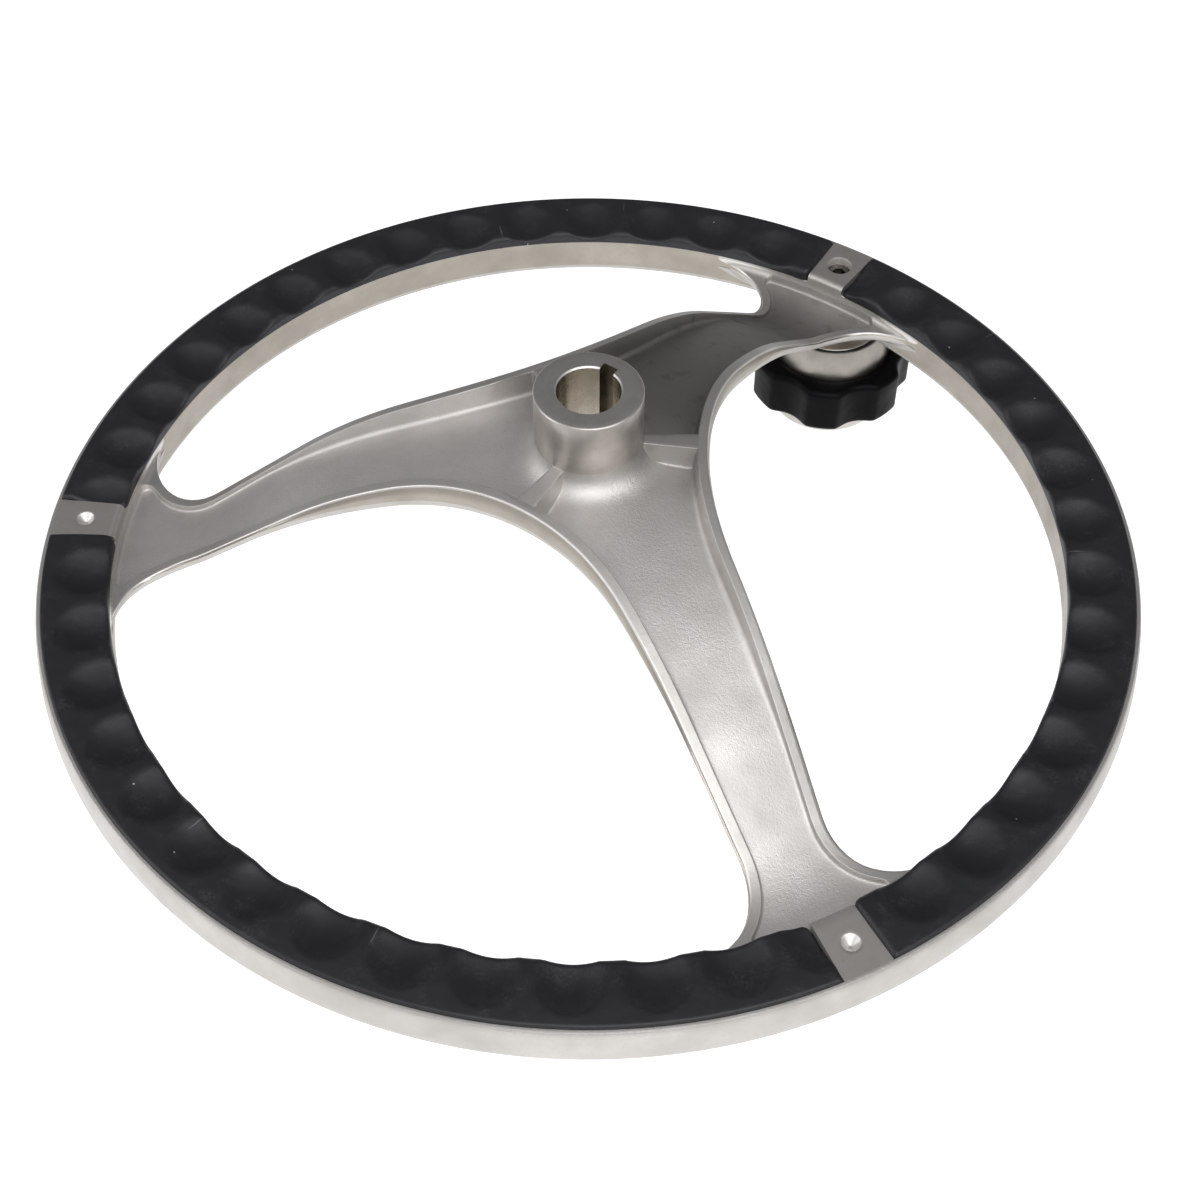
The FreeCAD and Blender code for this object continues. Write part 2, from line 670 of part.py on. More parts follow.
def knob_screw():
    seat = f"{HEAD_SEAT} + lock_washer_thickness"
    body = turned_piece("knob_screw", [
        ("0", f"{seat} + head_height"), ("head_radius", f"{seat} + head_height"), ("head_radius", seat),
        ("screw_radius", seat), ("screw_radius", f"{seat} - screw_length"), ("0", f"{seat} - screw_length")])
    cut_down(body, hexagon(body, "SocketLine", "hex_socket", f"{seat} + head_height"), "Socket", "hex_depth")
    return body


def ring(label, inner, outer, top, bottom):
    """A plain turned ring."""
    return turned_piece(label, [(inner, top), (outer, top), (outer, bottom), (inner, bottom)])


def knob_spindle():
    journal = "journal_radius - running_gap"
    stud_end = f"{NUT_TOP} - stud_length"
    body = turned_piece("knob_spindle", [
        ("0", SEAT), ("stem_radius", SEAT), ("stem_radius", DISC_BACK), ("disc_radius", DISC_BACK),
        ("disc_radius", DISC_FRONT), ("race_shoulder_radius", DISC_FRONT),
        ("race_shoulder_radius", UPPER_RACE_TOP), (journal, UPPER_RACE_TOP), (journal, LOWER_RACE_END),
        ("nut_radius", LOWER_RACE_END), ("nut_radius", stud_end), ("0", stud_end)])
    cut_down(body, circle(body, "TapCircle", "screw_radius + thread_gap", height=SEAT), "TapHole", "tap_depth")
    return body


# Ball bearings

PITCH_RADIUS = "(journal_radius + bearing_radius) / 2"


def ball_track(body, middle):
    """The groove that the balls run in, a little wider than they are."""
    sketch = new_sketch(body, "TrackLine", "XZ_Plane")
    where = FreeCAD.Vector(value_of(PITCH_RADIUS), value_of(middle), 0)
    radius = "ball_radius + ball_gap"
    sketch.addGeometry(Part.Circle(where, FreeCAD.Vector(0, 0, 1), value_of(radius)), False)
    bind(sketch, Sketcher.Constraint("Radius", 0, value_of(radius)), radius)
    bind(sketch, Sketcher.Constraint("DistanceX", -1, 1, 0, 3, where.x), PITCH_RADIUS)
    bind(sketch, Sketcher.Constraint("DistanceY", -1, 1, 0, 3, where.y), middle)
    turn(body, sketch, "Track", "PartDesign::Groove")


def bearing(side, top):
    """One ball bearing as its four pieces."""
    end = f"{top} - bearing_width"
    middle = f"{top} - bearing_width / 2"
    inner = ring(f"{side}_inner_race", "journal_radius", "journal_radius + race_wall", top, end)
    ball_track(inner, middle)
    outer = ring(f"{side}_outer_race", "bearing_radius - race_wall", "bearing_radius - running_gap", top, end)
    ball_track(outer, middle)

    cage = ring(f"{side}_cage", f"{PITCH_RADIUS} - cage_thickness / 2", f"{PITCH_RADIUS} + cage_thickness / 2",
                f"{middle} + cage_height / 2", f"{middle} - cage_height / 2")
    hole_line = new_sketch(cage, "PocketLine", "YZ_Plane")
    height = value_of(middle)
    radius = "ball_radius + cage_gap"
    hole_line.addGeometry(Part.Circle(FreeCAD.Vector(0, height, 0), FreeCAD.Vector(0, 0, 1),
                                      value_of(radius)), False)
    bind(hole_line, Sketcher.Constraint("Radius", 0, value_of(radius)), radius)
    bind(hole_line, Sketcher.Constraint("DistanceY", -1, 1, 0, 3, height), middle)
    hole_line.addConstraint(Sketcher.Constraint("PointOnObject", 0, 3, -2))
    hole = cut_down(cage, hole_line, "BallPocket", "bearing_radius")
    hole.Reversed = True
    repeat(cage, hole, "BallPockets", "ball_count")

    balls = new_body(f"{side}_balls")
    balls.AllowCompound = True
    ball = balls.newObject("PartDesign::AdditiveSphere", "Ball")
    ball.setExpression("Radius", bound("ball_radius"))
    ball.setExpression("Placement.Base.x", bound(PITCH_RADIUS))
    ball.setExpression("Placement.Base.z", bound(middle))
    repeat(balls, ball, "Balls", "ball_count")
    place_on_knob_axis(balls)


# Pieces below the lower bearing

def retaining_nut():
    body = new_body("retaining_nut")
    pad = body.newObject("PartDesign::Pad", "Hexagon")
    pad.Profile = hexagon(body, "NutLine", "nut_flats", NUT_TOP)
    pad.setExpression("Length", bound("nut_height"))
    pad.Reversed = True
    cut_through(body, circle(body, "NutBore", "nut_radius + thread_gap"), "NutHole")
    place_on_knob_axis(body)
    return body


def circlip():
    outer = "bearing_radius + circlip_groove - running_gap"
    body = ring("bearing_circlip", f"{outer} - circlip_width", outer, LOWER_RACE_END,
                f"{LOWER_RACE_END} - circlip_thickness")
    half = "circlip_opening / 2"
    gap_line = section(body, "GapLine", "XY_Plane", [
        ("0", f"-{half}"), (f"{outer} + circlip_width", f"-{half}"),
        (f"{outer} + circlip_width", half), ("0", half)])
    cut_through(body, gap_line, "Opening")
    return body


# Turning pieces of the knob

CAP_TOP = f"{RING_END} - cap_gap"
CAP_END = f"{CUP_END} - cap_base"
CAP_RADIUS = "(cup_radius + ring_fit + cap_wall)"


def knob_body():
    """The stainless cup that turns about the spindle: domed outside, stepped for the bearings inside."""
    under_disc = f"{DISC_FRONT} - under_disc_gap"
    groove = "bearing_radius + circlip_groove"
    groove_end = f"{LOWER_RACE_END} - circlip_thickness - running_gap"
    return turned_piece("knob_body", [
        (f"{MOUTH} + mouth_wall", CUP_TOP, "cup_dome_round"),
        ("cup_radius", f"{CUP_TOP} - cup_shoulder"),
        ("cup_radius", CUP_END),
        ("bearing_radius", CUP_END),
        ("bearing_radius", groove_end),
        (groove, groove_end),
        (groove, LOWER_RACE_END),
        ("bearing_radius", LOWER_RACE_END),
        ("bearing_radius", LOWER_RACE_TOP),
        ("shoulder_bore_radius", LOWER_RACE_TOP),
        ("shoulder_bore_radius", UPPER_RACE_END),
        ("bearing_radius", UPPER_RACE_END),
        ("bearing_radius", under_disc),
        (MOUTH, under_disc),
        (MOUTH, CUP_TOP),
    ])


def knob_ring():
    """The lobed rubber ring: a thick ring with one hollow cut between each pair of lobes."""
    body = ring("knob_ring", "cup_radius + ring_fit", "ring_radius", RING_TOP, RING_END)
    away = "ring_radius - lobe_cut_depth + lobe_cut_radius"
    hollow_line = circle(body, "HollowLine", "lobe_cut_radius", f"({away}) * cos(lobe_turn)",
                         f"({away}) * sin(lobe_turn)")
    hollow = cut_through(body, hollow_line, "Hollow")
    repeat(body, hollow, "Hollows", "lobe_count")

    def lobe_corner(edge):
        box = edge.BoundBox
        upright = edge.Curve.TypeId == "Part::GeomLine" and box.ZLength > value_of("ring_height") - 0.01
        return upright and math.hypot(box.Center.x, box.Center.y) > value_of("cup_radius") + 1
    round_edges(body, "LobeRounds", "lobe_round", lobe_corner)

    def rim_edge(edge):
        box = edge.BoundBox
        if box.ZLength > 0.01 or circle_at_radius("cup_radius + ring_fit")(edge):
            return False
        return True
    round_edges(body, "RingEdges", "ring_edge_round", rim_edge)
    return body


def end_cap():
    """The lid over the nut, which slides over the end of the knob body."""
    hollow_top = f"{CUP_END} - cap_hollow_depth"
    seal_in, seal_out = "cap_seal_radius", "cap_seal_radius + cap_seal_section"
    body = turned_piece("end_cap", [
        ("0", hollow_top), ("cap_hollow_radius", hollow_top), ("cap_hollow_radius", CUP_END),
        (seal_in, CUP_END), (seal_in, f"{CUP_END} - cap_seal_section"),
        (seal_out, f"{CUP_END} - cap_seal_section"), (seal_out, CUP_END),
        ("cup_radius + ring_fit", CUP_END), ("cup_radius + ring_fit", CAP_TOP),
        (CAP_RADIUS, CAP_TOP), (CAP_RADIUS, CAP_END), ("0", CAP_END)])
    round_edges(body, "CapEdge", "cap_edge_round", circle_at(CAP_RADIUS, CAP_END))
    return body


wheel_casting()
for grip_name, grip_turn in (("upper_left_grip", "360 / spoke_count"), ("lower_grip", "-360 / spoke_count"),
                             ("right_grip", "0")):
    grip(grip_name, grip_turn)
knob_screw()
ring("lock_washer", "screw_radius + screw_clearance", "head_radius",
     f"{HEAD_SEAT} + lock_washer_thickness", HEAD_SEAT)
knob_spindle()
ring("seal_ring", "disc_radius + thread_gap", f"{MOUTH} - seal_gap", DISC_BACK, f"{DISC_BACK} - seal_height")
bearing("upper", UPPER_RACE_TOP)
bearing("lower", LOWER_RACE_TOP)
ring("bearing_spacer", "journal_radius", "journal_radius + spacer_wall", UPPER_RACE_END, LOWER_RACE_TOP)
ring("retaining_washer", "nut_radius + thread_gap", "washer_radius", LOWER_RACE_END, NUT_TOP)
retaining_nut()
circlip()
knob_body()
knob_ring()
end_cap()
ring("cap_seal", "cap_seal_radius + thread_gap", "cap_seal_radius + cap_seal_section - thread_gap",
     CUP_END, f"{CUP_END} - cap_seal_section")
doc.recompute()

failed = [obj.Label for obj in doc.Objects if "Invalid" in obj.State or "Error" in obj.State]
if failed:
    raise RuntimeError(f"these objects failed: {failed}")
bodies = [obj for obj in doc.Objects if obj.TypeId == "PartDesign::Body" and obj.Label != "channel_core"]
for body in bodies:
    if body.Shape.isNull() or not body.Shape.isValid():
        raise RuntimeError(f"{body.Label} has no valid shape")

os.makedirs("parts", exist_ok=True)
for body in bodies:
    body.Shape.exportStep(f"parts/{body.Label}.step")
    print(f"{body.Label}: {len(body.Shape.Solids)} solid, {body.Shape.Volume / 1000:.2f} cm3")
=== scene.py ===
# %% [markdown]
# # A boat steering wheel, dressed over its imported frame
# The object is a dished stainless steering wheel, seen from behind. One casting makes the hub, three
# hollow-backed spokes and the rim. Three rubber grips lie in the back of the rim, and a knob turns on a
# spindle in front of it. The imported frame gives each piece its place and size. This lesson adds the
# soft edges, the cast grain, the moulded rubber and the light that a plain solid doesn't have.

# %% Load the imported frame
import math

import bmesh
import bpy
import numpy as np
from mathutils import Matrix, Vector


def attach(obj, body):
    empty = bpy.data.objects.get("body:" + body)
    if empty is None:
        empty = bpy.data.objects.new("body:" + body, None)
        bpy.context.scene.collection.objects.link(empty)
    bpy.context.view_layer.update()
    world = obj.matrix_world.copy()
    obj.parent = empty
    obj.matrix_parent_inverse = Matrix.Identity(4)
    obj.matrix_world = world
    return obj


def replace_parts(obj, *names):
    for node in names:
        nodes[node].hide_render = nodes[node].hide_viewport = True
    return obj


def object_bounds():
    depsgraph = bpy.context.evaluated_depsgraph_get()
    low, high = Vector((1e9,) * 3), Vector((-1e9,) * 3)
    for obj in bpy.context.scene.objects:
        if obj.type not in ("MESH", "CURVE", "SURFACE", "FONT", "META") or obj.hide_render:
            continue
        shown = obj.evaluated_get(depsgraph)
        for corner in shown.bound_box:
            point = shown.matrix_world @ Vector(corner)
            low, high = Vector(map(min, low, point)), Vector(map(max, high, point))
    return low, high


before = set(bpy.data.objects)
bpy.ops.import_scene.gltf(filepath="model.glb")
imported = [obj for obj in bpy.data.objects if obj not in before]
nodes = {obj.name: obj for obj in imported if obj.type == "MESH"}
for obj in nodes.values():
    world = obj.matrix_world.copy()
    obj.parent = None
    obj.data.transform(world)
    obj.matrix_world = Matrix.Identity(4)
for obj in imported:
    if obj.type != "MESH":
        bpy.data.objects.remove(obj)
cad_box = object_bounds()
print("nodes in the frame:", len(nodes))
print("box of the frame:", [[round(v, 4) for v in corner] for corner in cad_box])

# %% [markdown]
# ## The camera
# The photograph was taken from above and behind, with a lens of about 61 mm on a 36 mm sensor. The place
# of the camera was worked out from the ellipses of the rim, so a matrix of its three axes is the
# simplest exact way to set it: no aim point and no roll have to be guessed.

# %% Set the camera
LENS_MM = 61.09
SENSOR_MM = 36.0
CAMERA_PLACE = (0.029681, -0.423912, 0.408284)
CAMERA_RIGHT = (0.997894, 0.0648, 0.00274)
CAMERA_UP = (-0.051223, 0.761496, 0.646142)
CAMERA_BACK = (0.039784, -0.644922, 0.763212)

camera_data = bpy.data.cameras.new("photo_camera")
camera_data.lens = LENS_MM
camera_data.sensor_width = SENSOR_MM
camera_data.clip_start = 0.01
camera = bpy.data.objects.new("photo_camera", camera_data)
bpy.context.scene.collection.objects.link(camera)
axes = Matrix((CAMERA_RIGHT, CAMERA_UP, CAMERA_BACK)).transposed()
camera.matrix_world = Matrix.Translation(CAMERA_PLACE) @ axes.to_4x4()
bpy.context.scene.camera = camera
print("camera is", round(Vector(CAMERA_PLACE).length, 3), "m from the hub")

# %% [markdown]
# ## Colours and nodes
# A colour picked from a picture is sRGB, and Blender's shaders want linear light, so one function turns
# a hex value into a linear colour. A second small function adds a shader node, sets its values and makes
# its links, which keeps every material below to one line a node.

# %% One function for colours and one for nodes
def linear(hex_colour):
    parts = [int(hex_colour[k:k + 2], 16) / 255 for k in (1, 3, 5)]
    return tuple(c / 12.92 if c <= 0.04045 else ((c + 0.055) / 1.055) ** 2.4 for c in parts) + (1.0,)


def add_node(tree, kind, settings=None, **inputs):
    """Adds a node. A setting is an attribute, an input is a value or another node's output."""
    node = tree.nodes.new(kind)
    for name, value in (settings or {}).items():
        setattr(node, name, value)
    for name, value in inputs.items():
        key = int(name[1:]) if name[0] == "_" else name.replace("_", " ")
        if isinstance(value, bpy.types.NodeSocket):
            tree.links.new(value, node.inputs[key])
        else:
            node.inputs[key].default_value = value
    return node


def new_material(name):
    """A material with its shader, ready for nodes. Returns the material, its tree and its shader."""
    material = bpy.data.materials.new(name)
    material.use_nodes = True
    tree = material.node_tree
    return material, tree, tree.nodes["Principled BSDF"]


print("mid grey turns to", round(linear("#808080")[0], 3))

# %% [markdown]
# ## Light, floor and backdrop
# The photograph was lit softly from the front and above, with a dark room behind. That is why the lower
# spoke is pale while the far one and the hub's end are dark: bare metal shows what it faces. The world
# is pale above and in front and fades towards the back. One large panel stands in front and a smaller
# one on the left. All are plain and white, so the object looks right under other light too.

# %% Light the scene
SKY_BRIGHTEST = (0.0, -0.5, 0.866)

world = bpy.data.worlds.new("studio")
bpy.context.scene.world = world
world.use_nodes = True
sky = world.node_tree
sky_way = add_node(sky, "ShaderNodeTexCoord").outputs["Generated"]
sky_aim = add_node(sky, "ShaderNodeVectorMath", {"operation": "DOT_PRODUCT"}, _0=sky_way, _1=SKY_BRIGHTEST)
sky_tone = add_node(sky, "ShaderNodeMapRange", {"interpolation_type": "SMOOTHSTEP"},
                    Value=sky_aim.outputs["Value"], From_Min=0.3, From_Max=1.0, To_Min=0.25, To_Max=0.74)
sky.links.new(sky_tone.outputs["Result"], sky.nodes["Background"].inputs["Strength"])
sky.nodes["Background"].inputs["Color"].default_value = linear("#fbfbff")


def area_light(name, place, aim, size, watts):
    data = bpy.data.lights.new(name, "AREA")
    data.shape = "RECTANGLE"
    data.size, data.size_y = size
    data.energy = watts
    lamp = bpy.data.objects.new(name, data)
    bpy.context.scene.collection.objects.link(lamp)
    way = Vector(place) - Vector(aim)
    lamp.matrix_world = Matrix.Translation(place) @ way.to_track_quat("Z", "Y").to_matrix().to_4x4()


area_light("front_panel", (0.3, -0.7, 0.74), (0.0, 0.0, -0.05), (1.3, 0.9), 8.5)
area_light("left_panel", (-0.95, -0.25, 0.4), (0.0, 0.0, -0.05), (0.5, 0.9), 3.6)

# %% [markdown]
# The floor is pale and reaches far past the view, so it is the whole background. To look white without
# more light on the object, it glows a little, but only where the camera, a reflection or a clear
# material looks at it. It still catches the shadow.

# %% Lay the floor
FLOOR_BELOW, FLOOR_REACH, FLOOR_GLOW = 0.11, 3.0, 0.5
TIMES = {"operation": "MULTIPLY"}
PLUS = {"operation": "ADD"}

floor_material, tree, shader = new_material("pale_painted_floor")
shader.inputs["Base Color"].default_value = linear("#f4f4f4")
shader.inputs["Roughness"].default_value = 0.9
path = add_node(tree, "ShaderNodeLightPath")
seen = add_node(tree, "ShaderNodeMath", PLUS, _0=path.outputs["Is Camera Ray"],
                _1=path.outputs["Is Glossy Ray"])
seen = add_node(tree, "ShaderNodeMath", {"operation": "ADD", "use_clamp": True}, _0=seen.outputs[0],
                _1=path.outputs["Is Transmission Ray"])
glow = add_node(tree, "ShaderNodeMath", TIMES, _0=seen.outputs[0], _1=FLOOR_GLOW)
shader.inputs["Emission Color"].default_value = linear("#ffffff")
tree.links.new(glow.outputs[0], shader.inputs["Emission Strength"])
floor_mesh = bpy.data.meshes.new("floor")
level = cad_box[0][2] - FLOOR_BELOW
corners = [(x * FLOOR_REACH, y * FLOOR_REACH, level) for x, y in ((-1, -1), (1, -1), (1, 1), (-1, 1))]
floor_mesh.from_pydata(corners, [], [(0, 1, 2, 3)])
floor_mesh.materials.append(floor_material)
floor = bpy.data.objects.new("floor", floor_mesh)
bpy.context.scene.collection.objects.link(floor)
print("floor lies", round(-level * 1000, 1), "mm below the hub's rear face")

# %% [markdown]
# ## How the casting is built
# The real casting was poured in a sand mould, so it has no sharp inside corner anywhere: floors run into
# walls through a fillet of about 2 mm, and the boss stands in a larger one. The wheel repeats three
# times, and each third is a mirror image about its spoke. So it is enough to build one sixth, from the
# middle of a window to the middle of a spoke, as sheets of points, and to copy it round. A sheet is a
# grid with its rows and columns laid along the real edges, so the points are dense only where the metal
# bends. A subdivided cage would need fewer points, but it would drift off the measured arcs.

# %% Sizes of the casting, in millimetres
MM = 0.001
RIM_IN = 148.9
LIP = -66.4
SPOKE_TURN = math.radians(60)
PAD_TURN = math.radians(57.4)
FLANGE = 3.2
DISH_START, DISH_END = 10.0, 142.3
DISH_SLOPE = math.radians(36.87)
TOE = 38.0
WALL_DRAFT = math.radians(6)
FLOOR_ROUND, RIB_ROUND = 2.0, 0.9
LARGEST_FILLET_SHARE = 0.45
TOP_ROUND = 0.35
EDGE_ROUND = 0.55
BACK_BLEND, HOLLOW_BLEND = 2.4, 1.5
FRONT_BLEND, FRONT_EDGE, FRONT_FOOT = 1.2, 5.0, 3.5
BOSS, BOSS_ROUND = 16.2, 7.0
FRONT_BOSS = 17.5
FLANGE_LINE, FLOOR_LINE, FRONT_LINE = (-16.7, -72.7), (-25.3, -74.7), (-28.9, -78.7)


def dished(r, hub_height, rim_height):
    """Height of a dished line at radius r: level, crown arc, slope, toe arc, level."""
    drop = hub_height - rim_height
    sine, cosine = math.sin(DISH_SLOPE), math.cos(DISH_SLOPE)
    crown = ((DISH_END - DISH_START) * sine - drop * cosine) / (1 - cosine) - TOE
    crown_end = DISH_START + crown * sine
    toe_start = DISH_END - TOE * sine
    on_crown = hub_height - crown + np.sqrt(np.maximum(crown ** 2 - (r - DISH_START) ** 2, 0))
    on_slope = hub_height - crown * (1 - cosine) - (r - crown_end) * math.tan(DISH_SLOPE)
    on_toe = rim_height + TOE - np.sqrt(np.maximum(TOE ** 2 - (DISH_END - r) ** 2, 0))
    height = np.where(r < crown_end, on_crown, np.where(r < toe_start, on_slope, on_toe))
    return np.where(r < DISH_START, hub_height, np.where(r > DISH_END, rim_height, height))


def flange_height(r):
    return dished(r, *FLANGE_LINE)


def floor_height(r):
    return dished(r, *FLOOR_LINE)


def front_height(r):
    return dished(r, *FRONT_LINE)


for radius in (25.4, 76.1, 126.8):
    print("at radius", radius, "flange", round(float(flange_height(radius)), 1),
          "floor", round(float(floor_height(radius)), 1))

# %% [markdown]
# ### The outlines in plan
# Each opening between two spokes is bounded by an arc round the hub, a straight flank, a corner arc and
# the rim itself, all tangent. The hollow of the spoke follows that edge 3.2 mm further in, turns a small
# corner and then follows the rim. Every height on the casting depends on the distance from these two
# lines, so both are written down once as functions that take whole arrays of points.

# %% The edge of a window and the edge of a hollow
WINDOW_REACH, HUB_ARC, CORNER_ARC = 35.3, 94.7, 21.3
CORNER_TURN = math.radians(44.288)
HOLLOW_END, HOLLOW_CORNER = 148.45, 2.4
corner_centre = (RIM_IN - CORNER_ARC) * np.array([math.cos(CORNER_TURN), math.sin(CORNER_TURN)])
hub_centre = np.array([WINDOW_REACH + HUB_ARC, 0.0])
apart = corner_centre - hub_centre
FLANK_TURN = (math.atan2(apart[1], apart[0])
              + math.acos((HUB_ARC - CORNER_ARC) / math.hypot(apart[0], apart[1])))
across_flank = np.array([math.cos(FLANK_TURN), math.sin(FLANK_TURN)])
along_flank = np.array([math.sin(FLANK_TURN), -math.cos(FLANK_TURN)])
flank_start = hub_centre + HUB_ARC * across_flank
HUB_RUN = HUB_ARC * (math.pi - FLANK_TURN)
FLANK_RUN = float((corner_centre - hub_centre) @ along_flank)
CORNER_RUN = CORNER_ARC * (FLANK_TURN - CORNER_TURN)
RIM_RUN = RIM_IN * (SPOKE_TURN - CORNER_TURN)
TIP = HUB_RUN + FLANK_RUN + CORNER_RUN


def polar(radius, turned):
    return np.stack([radius * np.cos(turned), radius * np.sin(turned)], -1)


def edge_point(run, moved):
    """A point at a run along the window's edge, moved into the spoke. Past the tip it lies on the rim."""
    if run <= HUB_RUN:
        return hub_centre + polar(HUB_ARC + moved, math.pi - run / HUB_ARC)
    if run <= HUB_RUN + FLANK_RUN:
        return flank_start + (run - HUB_RUN) * along_flank + moved * across_flank
    if run <= TIP:
        turned = FLANK_TURN - (run - HUB_RUN - FLANK_RUN) / CORNER_ARC
        return corner_centre + polar(CORNER_ARC + moved, turned)
    return polar(RIM_IN - moved, CORNER_TURN + (run - TIP) / RIM_IN)


def from_edge(plan):
    """Distance of points from the window's edge, measured into the spoke."""
    along = (plan - flank_start) @ along_flank
    by_hub = np.linalg.norm(plan - hub_centre, axis=-1) - HUB_ARC
    by_corner = np.linalg.norm(plan - corner_centre, axis=-1) - CORNER_ARC
    by_flank = (plan - flank_start) @ across_flank
    return np.where(along < 0, by_hub, np.where(along > FLANK_RUN, by_corner, by_flank))


corner_far = float(np.linalg.norm(corner_centre))
round_far, round_apart = HOLLOW_END - HOLLOW_CORNER, CORNER_ARC + FLANGE + HOLLOW_CORNER
round_turn = CORNER_TURN + math.acos((round_far ** 2 + corner_far ** 2 - round_apart ** 2)
                                     / (2 * round_far * corner_far))
round_centre = polar(round_far, round_turn)
to_window = (corner_centre - round_centre) / round_apart
to_rim = round_centre / round_far


def into_hollow(plan):
    """Distance of points inside the hollow from its wall, with the rounded corner at the rim."""
    radius = np.linalg.norm(plan, axis=-1)
    straight = np.minimum(from_edge(plan) - FLANGE, HOLLOW_END - radius)
    away = plan - round_centre
    parts = away @ np.linalg.inv(np.array([to_window, to_rim]))
    in_corner = (parts[..., 0] > 0) & (parts[..., 1] > 0)
    return np.where(in_corner, HOLLOW_CORNER - np.linalg.norm(away, axis=-1), straight)


print("edge of a window:", round(TIP, 1), "mm, then", round(RIM_RUN, 1), "mm of rim to the spoke's middle")

# %% [markdown]
# ### Sections across a wall
# Across the edge of a hollow the surface is a level flange, a small rounding, a wall with a few degrees
# of draft, so that the pattern could leave the sand, and a fillet into the floor. The same section, with
# a smaller fillet, also makes the three ribs at the hub. A smaller function gives the fillets at a boss
# and the roundings at an edge.

# %% The drop across a wall, fillets and roundings
def wall_marks(depth, largest=FLOOR_ROUND):
    """Distances at which the section changes, and its fillet: rounding, wall, fillet, floor."""
    fillet = np.minimum(largest, LARGEST_FILLET_SHARE * depth)
    lean = math.tan(WALL_DRAFT)
    floor_start = (depth - fillet) * lean + fillet / math.cos(WALL_DRAFT)
    flange_end = TOP_ROUND * lean - TOP_ROUND / math.cos(WALL_DRAFT)
    return (flange_end, flange_end + TOP_ROUND * math.cos(WALL_DRAFT),
            floor_start - fillet * math.cos(WALL_DRAFT), floor_start, fillet)


def wall_drop(inside, depth, largest=FLOOR_ROUND):
    flange_end, wall_start, wall_end, floor_start, fillet = wall_marks(depth, largest)
    rounding = TOP_ROUND - np.sqrt(np.maximum(TOP_ROUND ** 2 - (inside - flange_end) ** 2, 0))
    wall = inside / math.tan(WALL_DRAFT)
    foot = depth - fillet + np.sqrt(np.maximum(fillet ** 2 - (floor_start - inside) ** 2, 0))
    drop = np.where(inside < wall_end, wall, np.where(inside < floor_start, foot, depth))
    return np.where(inside < flange_end, 0, np.where(inside < wall_start, rounding, drop))


def quarter(distance, radius):
    """Height of a quarter round: its full radius at distance 0, nothing beyond the radius."""
    inside = np.clip(radius - distance, 0, radius)
    return radius - np.sqrt(np.maximum(radius ** 2 - inside ** 2, 0))


print("a wall 8.6 mm high takes", round(float(wall_marks(np.array(8.6))[3]), 2), "mm of floor")

# %% [markdown]
# ### Heights of the two faces
# The back face starts at the flange line and drops by the wall section, except on the ribs, whose tops
# are level. Near the boss and near the rim a fillet lifts it. The front face is smooth and its edge has a
# radius of 5 mm, because that is the side a hand rests on. That radius also makes the outer walls look
# lower from behind, as they do in the photograph. Both are functions of the plan alone, so any grid can
# be laid over them.

# %% Heights over the plan
RIB_TOP = -18.8
RIB_START, RIB_NARROW, RIB_WIDE = 15.2, 1.85, 3.3


def half_rib(x):
    """Half the width of a rib, which widens from the boss to the window."""
    return np.interp(x, [RIB_START, WINDOW_REACH], [RIB_NARROW, RIB_WIDE])


def back_height(plan):
    radius = np.linalg.norm(plan, axis=-1)
    crest = np.minimum(flange_height(radius), RIB_TOP)
    floor_line = floor_height(radius)
    depth = crest - floor_line
    by_rib = wall_drop(plan[..., 1] - half_rib(plan[..., 0]), depth, RIB_ROUND)
    drop = np.minimum(wall_drop(into_hollow(plan), depth), by_rib)
    height = np.maximum(crest - drop, floor_line + quarter(radius - BOSS, BOSS_ROUND))
    blend = BACK_BLEND - (BACK_BLEND - HOLLOW_BLEND) * np.clip(drop / depth, 0, 1)
    return height + quarter(RIM_IN - radius, blend) - quarter(from_edge(plan), EDGE_ROUND)


def under_height(plan):
    radius = np.linalg.norm(plan, axis=-1)
    foot = quarter(radius - FRONT_BOSS, FRONT_FOOT)
    return (front_height(radius) - foot - quarter(RIM_IN - radius, FRONT_BLEND)
            + quarter(from_edge(plan), FRONT_EDGE))


middle = np.array([[30.0, 52.0]])
print("at radius 60 on a spoke the floor is at", round(float(back_height(middle)[0]), 1), "mm")

# %% [markdown]
# ### One grid for both faces of a spoke
# A column of the grid starts on the window's edge, crosses the flange and the wall at right angles, and
# ends on the boss or on the spoke's middle line. Its rows are crowded where the surface bends: on the
# edge, on the wall and in the fillets. Past the tip of the window the columns start on the rim instead
# and fan round the small corner of the hollow.

# %% Lay out the grid
RUN_TO_BOSS = 22.0
RIB_RUN, RIB_REACH, RIB_EASE = RIB_WIDE, 33.5, 8
rib_marks = [RIB_RUN + x for x in (-0.37, -0.2, -0.05, 0.15, 0.45, 0.75, 1.05, 1.4, 1.75, 2.1, 2.5, 3.2)]
hub_runs = [0, 1.6] + rib_marks + [7.6, 9, 10.8, 12.7, 14.6, 16.5, 18.4, 20.2, 21.4, RUN_TO_BOSS]
foot_runs = [22.15, 22.45, 22.95, 23.6, 24.4, 25.5, 27, 29, 31.5, 34, 37, 40, HUB_RUN]
flank_runs = list(np.linspace(HUB_RUN, HUB_RUN + FLANK_RUN, 19)[1:])
turn_away = FLANK_TURN - (math.atan2(-to_window[1], -to_window[0]) % (2 * math.pi))
CORNER_START = HUB_RUN + FLANK_RUN + CORNER_ARC * turn_away
RIM_START = TIP + RIM_IN * (round_turn - CORNER_TURN)
PAD_RUN = TIP + RIM_IN * (PAD_TURN - CORNER_TURN)
toe_runs = list(np.linspace(HUB_RUN + FLANK_RUN, CORNER_START, 9)[1:])
tip_runs = list(np.linspace(CORNER_START, TIP, 11)[1:])
